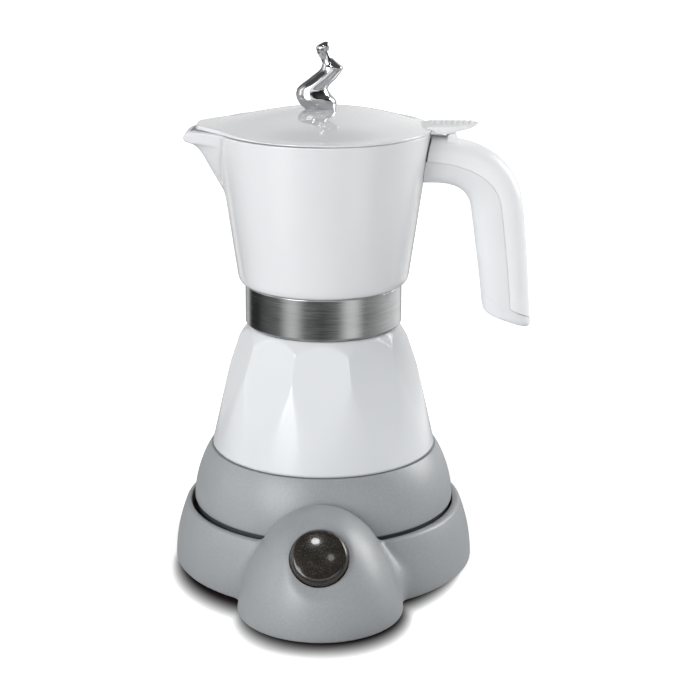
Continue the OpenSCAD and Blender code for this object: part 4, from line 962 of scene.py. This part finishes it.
def handle_grip():
    shape = joined(handle_channel(HANDLE_INNER, 2.0, 0.1), handle_foot())
    piece = make("handle_grip", shape, "jug_set", "white_satin", ["handle_shell"], crease=40)
    # The grip takes a darker, cooler copy of the white satin: painted shade on the handle's inner half.
    grip_satin_painted_shade = satin_white("grip_satin_painted_shade", (0.80, 0.815, 0.835), (0.82, 0.835, 0.855))
    piece.data.materials[0] = grip_satin_painted_shade.material


# Carried-over pieces

def dress_nodes():
    slots = {part["node"]: part["material_slot"] for part in frame["record"]["subparts"]}
    for name, piece in frame["nodes"].items():
        piece.data.materials.clear()
        piece.data.materials.append(FINISHES[slots[name]].material)


# Studio

# turn about Z, where 0.5 is the camera's side, and the brightness that polished metal sees there
WALLS = [
    (0.0, 0.78), (0.012, 0.80), (0.04, 0.75), (0.07, 0.20), (0.11, 0.08), (0.14, 0.45), (0.22, 0.7),
    (0.24, 1.8), (0.27, 1.8), (0.29, 0.65), (0.36, 0.75), (0.42, 0.6), (0.46, 0.08), (0.52, 0.02),
    (0.70, 0.02), (0.76, 0.15), (0.84, 0.35), (0.93, 0.8), (0.98, 1.0), (1.0, 0.78)]
TABLE = [
    (0.0, 0.9), (0.03, 0.65), (0.06, 0.25), (0.105, 0.75), (0.14, 0.02), (0.20, 0.02), (0.25, 0.10),
    (0.32, 0.15), (0.365, 0.75), (0.39, 0.75), (0.43, 0.17), (0.5, 0.065), (0.56, 0.20), (0.60, 0.87),
    (0.63, 0.87), (0.67, 0.22), (0.73, 0.40), (0.80, 0.72), (0.88, 1.0), (0.92, 0.9), (0.95, 0.12),
    (0.97, 0.6), (1.0, 0.9)]
WHITE = (1.0, 1.0, 1.0, 1.0)

# name, azimuth and elevation in degrees, distance and size in metres, power in watts, outline
SOFTBOXES = [
    ("key_softbox", -40, 20, 1.3, (0.7, 0.8), 8.6, "RECTANGLE"),
    ("rear_softbox", 111, 22, 1.3, (0.6, 0.8), 10.3, "RECTANGLE"),
    ("top_spot", -10, 63.4, 1.1, (0.15, 0.12), 0.75, "ELLIPSE"),
    ("low_spot", 14, 47, 1.1, (0.12, 0.12), 0.12, "ELLIPSE"),
    ("edge_spot", 140, 62, 1.1, (0.06, 0.14), 0.40, "RECTANGLE"),
]


def light_paths(nodes):
    rays = nodes.node("ShaderNodeLightPath").socket.node.outputs
    return [Value(nodes, rays[name]) for name in ("Is Camera Ray", "Is Glossy Ray", "Is Transmission Ray")]


def axes(nodes, spot):
    outputs = nodes.node("ShaderNodeSeparateXYZ", {}, {0: spot}).socket.node.outputs
    return [Value(nodes, socket) for socket in outputs]


def brightness_round(nodes, x, y, stops):
    angle = nodes.node("ShaderNodeMath", {"operation": "ARCTAN2"}, {0: x, 1: -1 * y})
    return nodes.node("ShaderNodeValToRGB", {"stops": stops}, {0: angle / FULL_TURN + 0.5})


def studio_world():
    world = bpy.data.worlds.new("studio")
    bpy.context.scene.world = world
    world.use_nodes = True
    nodes = Nodes(world.node_tree)
    camera, glossy, through = light_paths(nodes)
    x, y, z = axes(nodes, nodes.node("ShaderNodeTexCoord", out="Generated"))
    upper = nodes.span(nodes.span(z, 0.05, 0.18) + nodes.span(y, -0.2, 0.2), 0, 1)
    low = nodes.blend(upper, (0.32, 0.32, 0.33), brightness_round(nodes, x, y, WALLS))
    high = nodes.blend(nodes.span(z, 0.55, 0.70), low, (0.10, 0.10, 0.10))
    front = nodes.span(z, 0.05, 0.12) * nodes.span(z, 0.50, 0.42) * nodes.span(y, -0.55, -0.8)
    seen = nodes.blend(front, high, (1.2, 1.2, 1.2))
    ambient = nodes.span(z, 0.0, 0.7, 1.16, 0.12) * (1 - 0.15 * x)
    lit = nodes.node("ShaderNodeBackground", {}, {"Color": WHITE, "Strength": ambient})
    mirrored = nodes.node("ShaderNodeBackground", {}, {"Color": seen, "Strength": 1.0})
    white = nodes.node("ShaderNodeBackground", {}, {"Color": WHITE, "Strength": 1.0})
    light = nodes.node("ShaderNodeMixShader", {}, {0: glossy, 1: lit, 2: mirrored})
    direct = nodes.span(camera + through, 0, 1)
    both = nodes.node("ShaderNodeMixShader", {}, {0: direct, 1: light, 2: white})
    nodes.feed(nodes.tree.nodes["World Output"].inputs["Surface"], both)


def softbox(name, azimuth, elevation, distance, size, power, shape):
    data = bpy.data.lights.new(name, "AREA")
    data.shape = shape
    data.size, data.size_y = size
    data.energy = power
    box = add_object(name, data)
    aim = np.array([0, 0, 0.13])
    turn, lift = math.radians(azimuth), math.radians(elevation)
    way = np.array([-math.sin(turn) * math.cos(lift), math.cos(turn) * math.cos(lift), -math.sin(lift)])
    box.location = aim - distance * way
    box.rotation_euler = (math.atan2(math.hypot(way[0], way[1]), -way[2]), 0, math.atan2(-way[0], way[1]))


def shadow_gap(x, y, aside, middle, radius, reach=2.5):
    """Distance outside a round foot, measured shorter to the front and back by reach."""
    dx, dy = x - aside, y - middle
    run = (dx * dx + dy * dy) ** 0.5
    return (run - radius) * run / (dx * dx + reach ** 2 * dy * dy) ** 0.5


def studio_floor():
    below = -0.05
    mesh = new_mesh("studio_floor", sheet(turned([(r, below) for r in (0, 60, 140, 400, 1500, 6000)], 96)))
    floor = add_object("studio_floor", mesh)
    finish = Finish("pale_floor", roughness=0.9, specular_ior_level=0.0)
    camera, glossy, through = light_paths(finish)
    x, y, _ = axes(finish, finish.node("ShaderNodeTexCoord", out="Object"))
    far = (x * x + y * y) ** 0.5
    # The floor's colour and its white glow fade to a dark brown near the base's footprint, by distance
    # alone: a painted contact shadow.
    ring_gap = shadow_gap(x, y, -0.002, -0.012, 0.0682) + finish.span(x, 0.025, 0.085, 0, 0.0025)
    mound_gap = shadow_gap(x, y, 0.0015, -0.0744, 0.0370)
    away = finish.node("ShaderNodeMath", {"operation": "SMOOTH_MIN"}, {0: ring_gap, 1: mound_gap, 2: 0.003})
    shade = finish.span(away, -0.002, 0.0055) ** 2
    grain = finish.noise(4)
    painted_shadow_tone = shade * (0.985 + 0.03 * grain)
    finish.set(base_color=finish.blend(painted_shadow_tone, (0.02, 0.015, 0.015), (0.90, 0.90, 0.90)))
    glow = shade * finish.span(far, 0.15, 1.6, 0.5, 1.0) * finish.span(camera + through, 0, 1)
    white = finish.blend(glow, (0.0, 0.0, 0.0), (1.0, 1.0, 1.0))
    light = finish.node("ShaderNodeEmission", {}, {"Color": white, "Strength": 1.0})
    plain = finish.node("ShaderNodeAddShader", {}, {0: Value(finish, finish.shader.outputs[0]), 1: light})
    around = brightness_round(finish, x, y, TABLE)
    near = finish.blend(finish.span(far, 0.30, 0.39), (0.33, 0.33, 0.33), around)
    seen = finish.blend(finish.span(far, 0.64, 0.74), near, (0.55, 0.55, 0.55))
    mirrored = finish.node("ShaderNodeEmission", {}, {"Color": seen, "Strength": 1.0})
    both = finish.node("ShaderNodeMixShader", {}, {0: glossy, 1: plain, 2: mirrored})
    finish.feed(finish.tree.nodes["Material Output"].inputs["Surface"], both)
    mesh.materials.append(finish.material)


photo_camera()
dress_nodes()
base_housing()
button_lens()
springs()
heater_skirt()
boiler_shell()
valve_boss()
steel_collar()
jug()
domed_lid()
flame_knob()
thumb_lever()
handle_cover()
hinge_rod()
handle_grip()
studio_world()
for box in SOFTBOXES:
    softbox(*box)
studio_floor()
bpy.context.scene.view_settings.view_transform = "Standard"
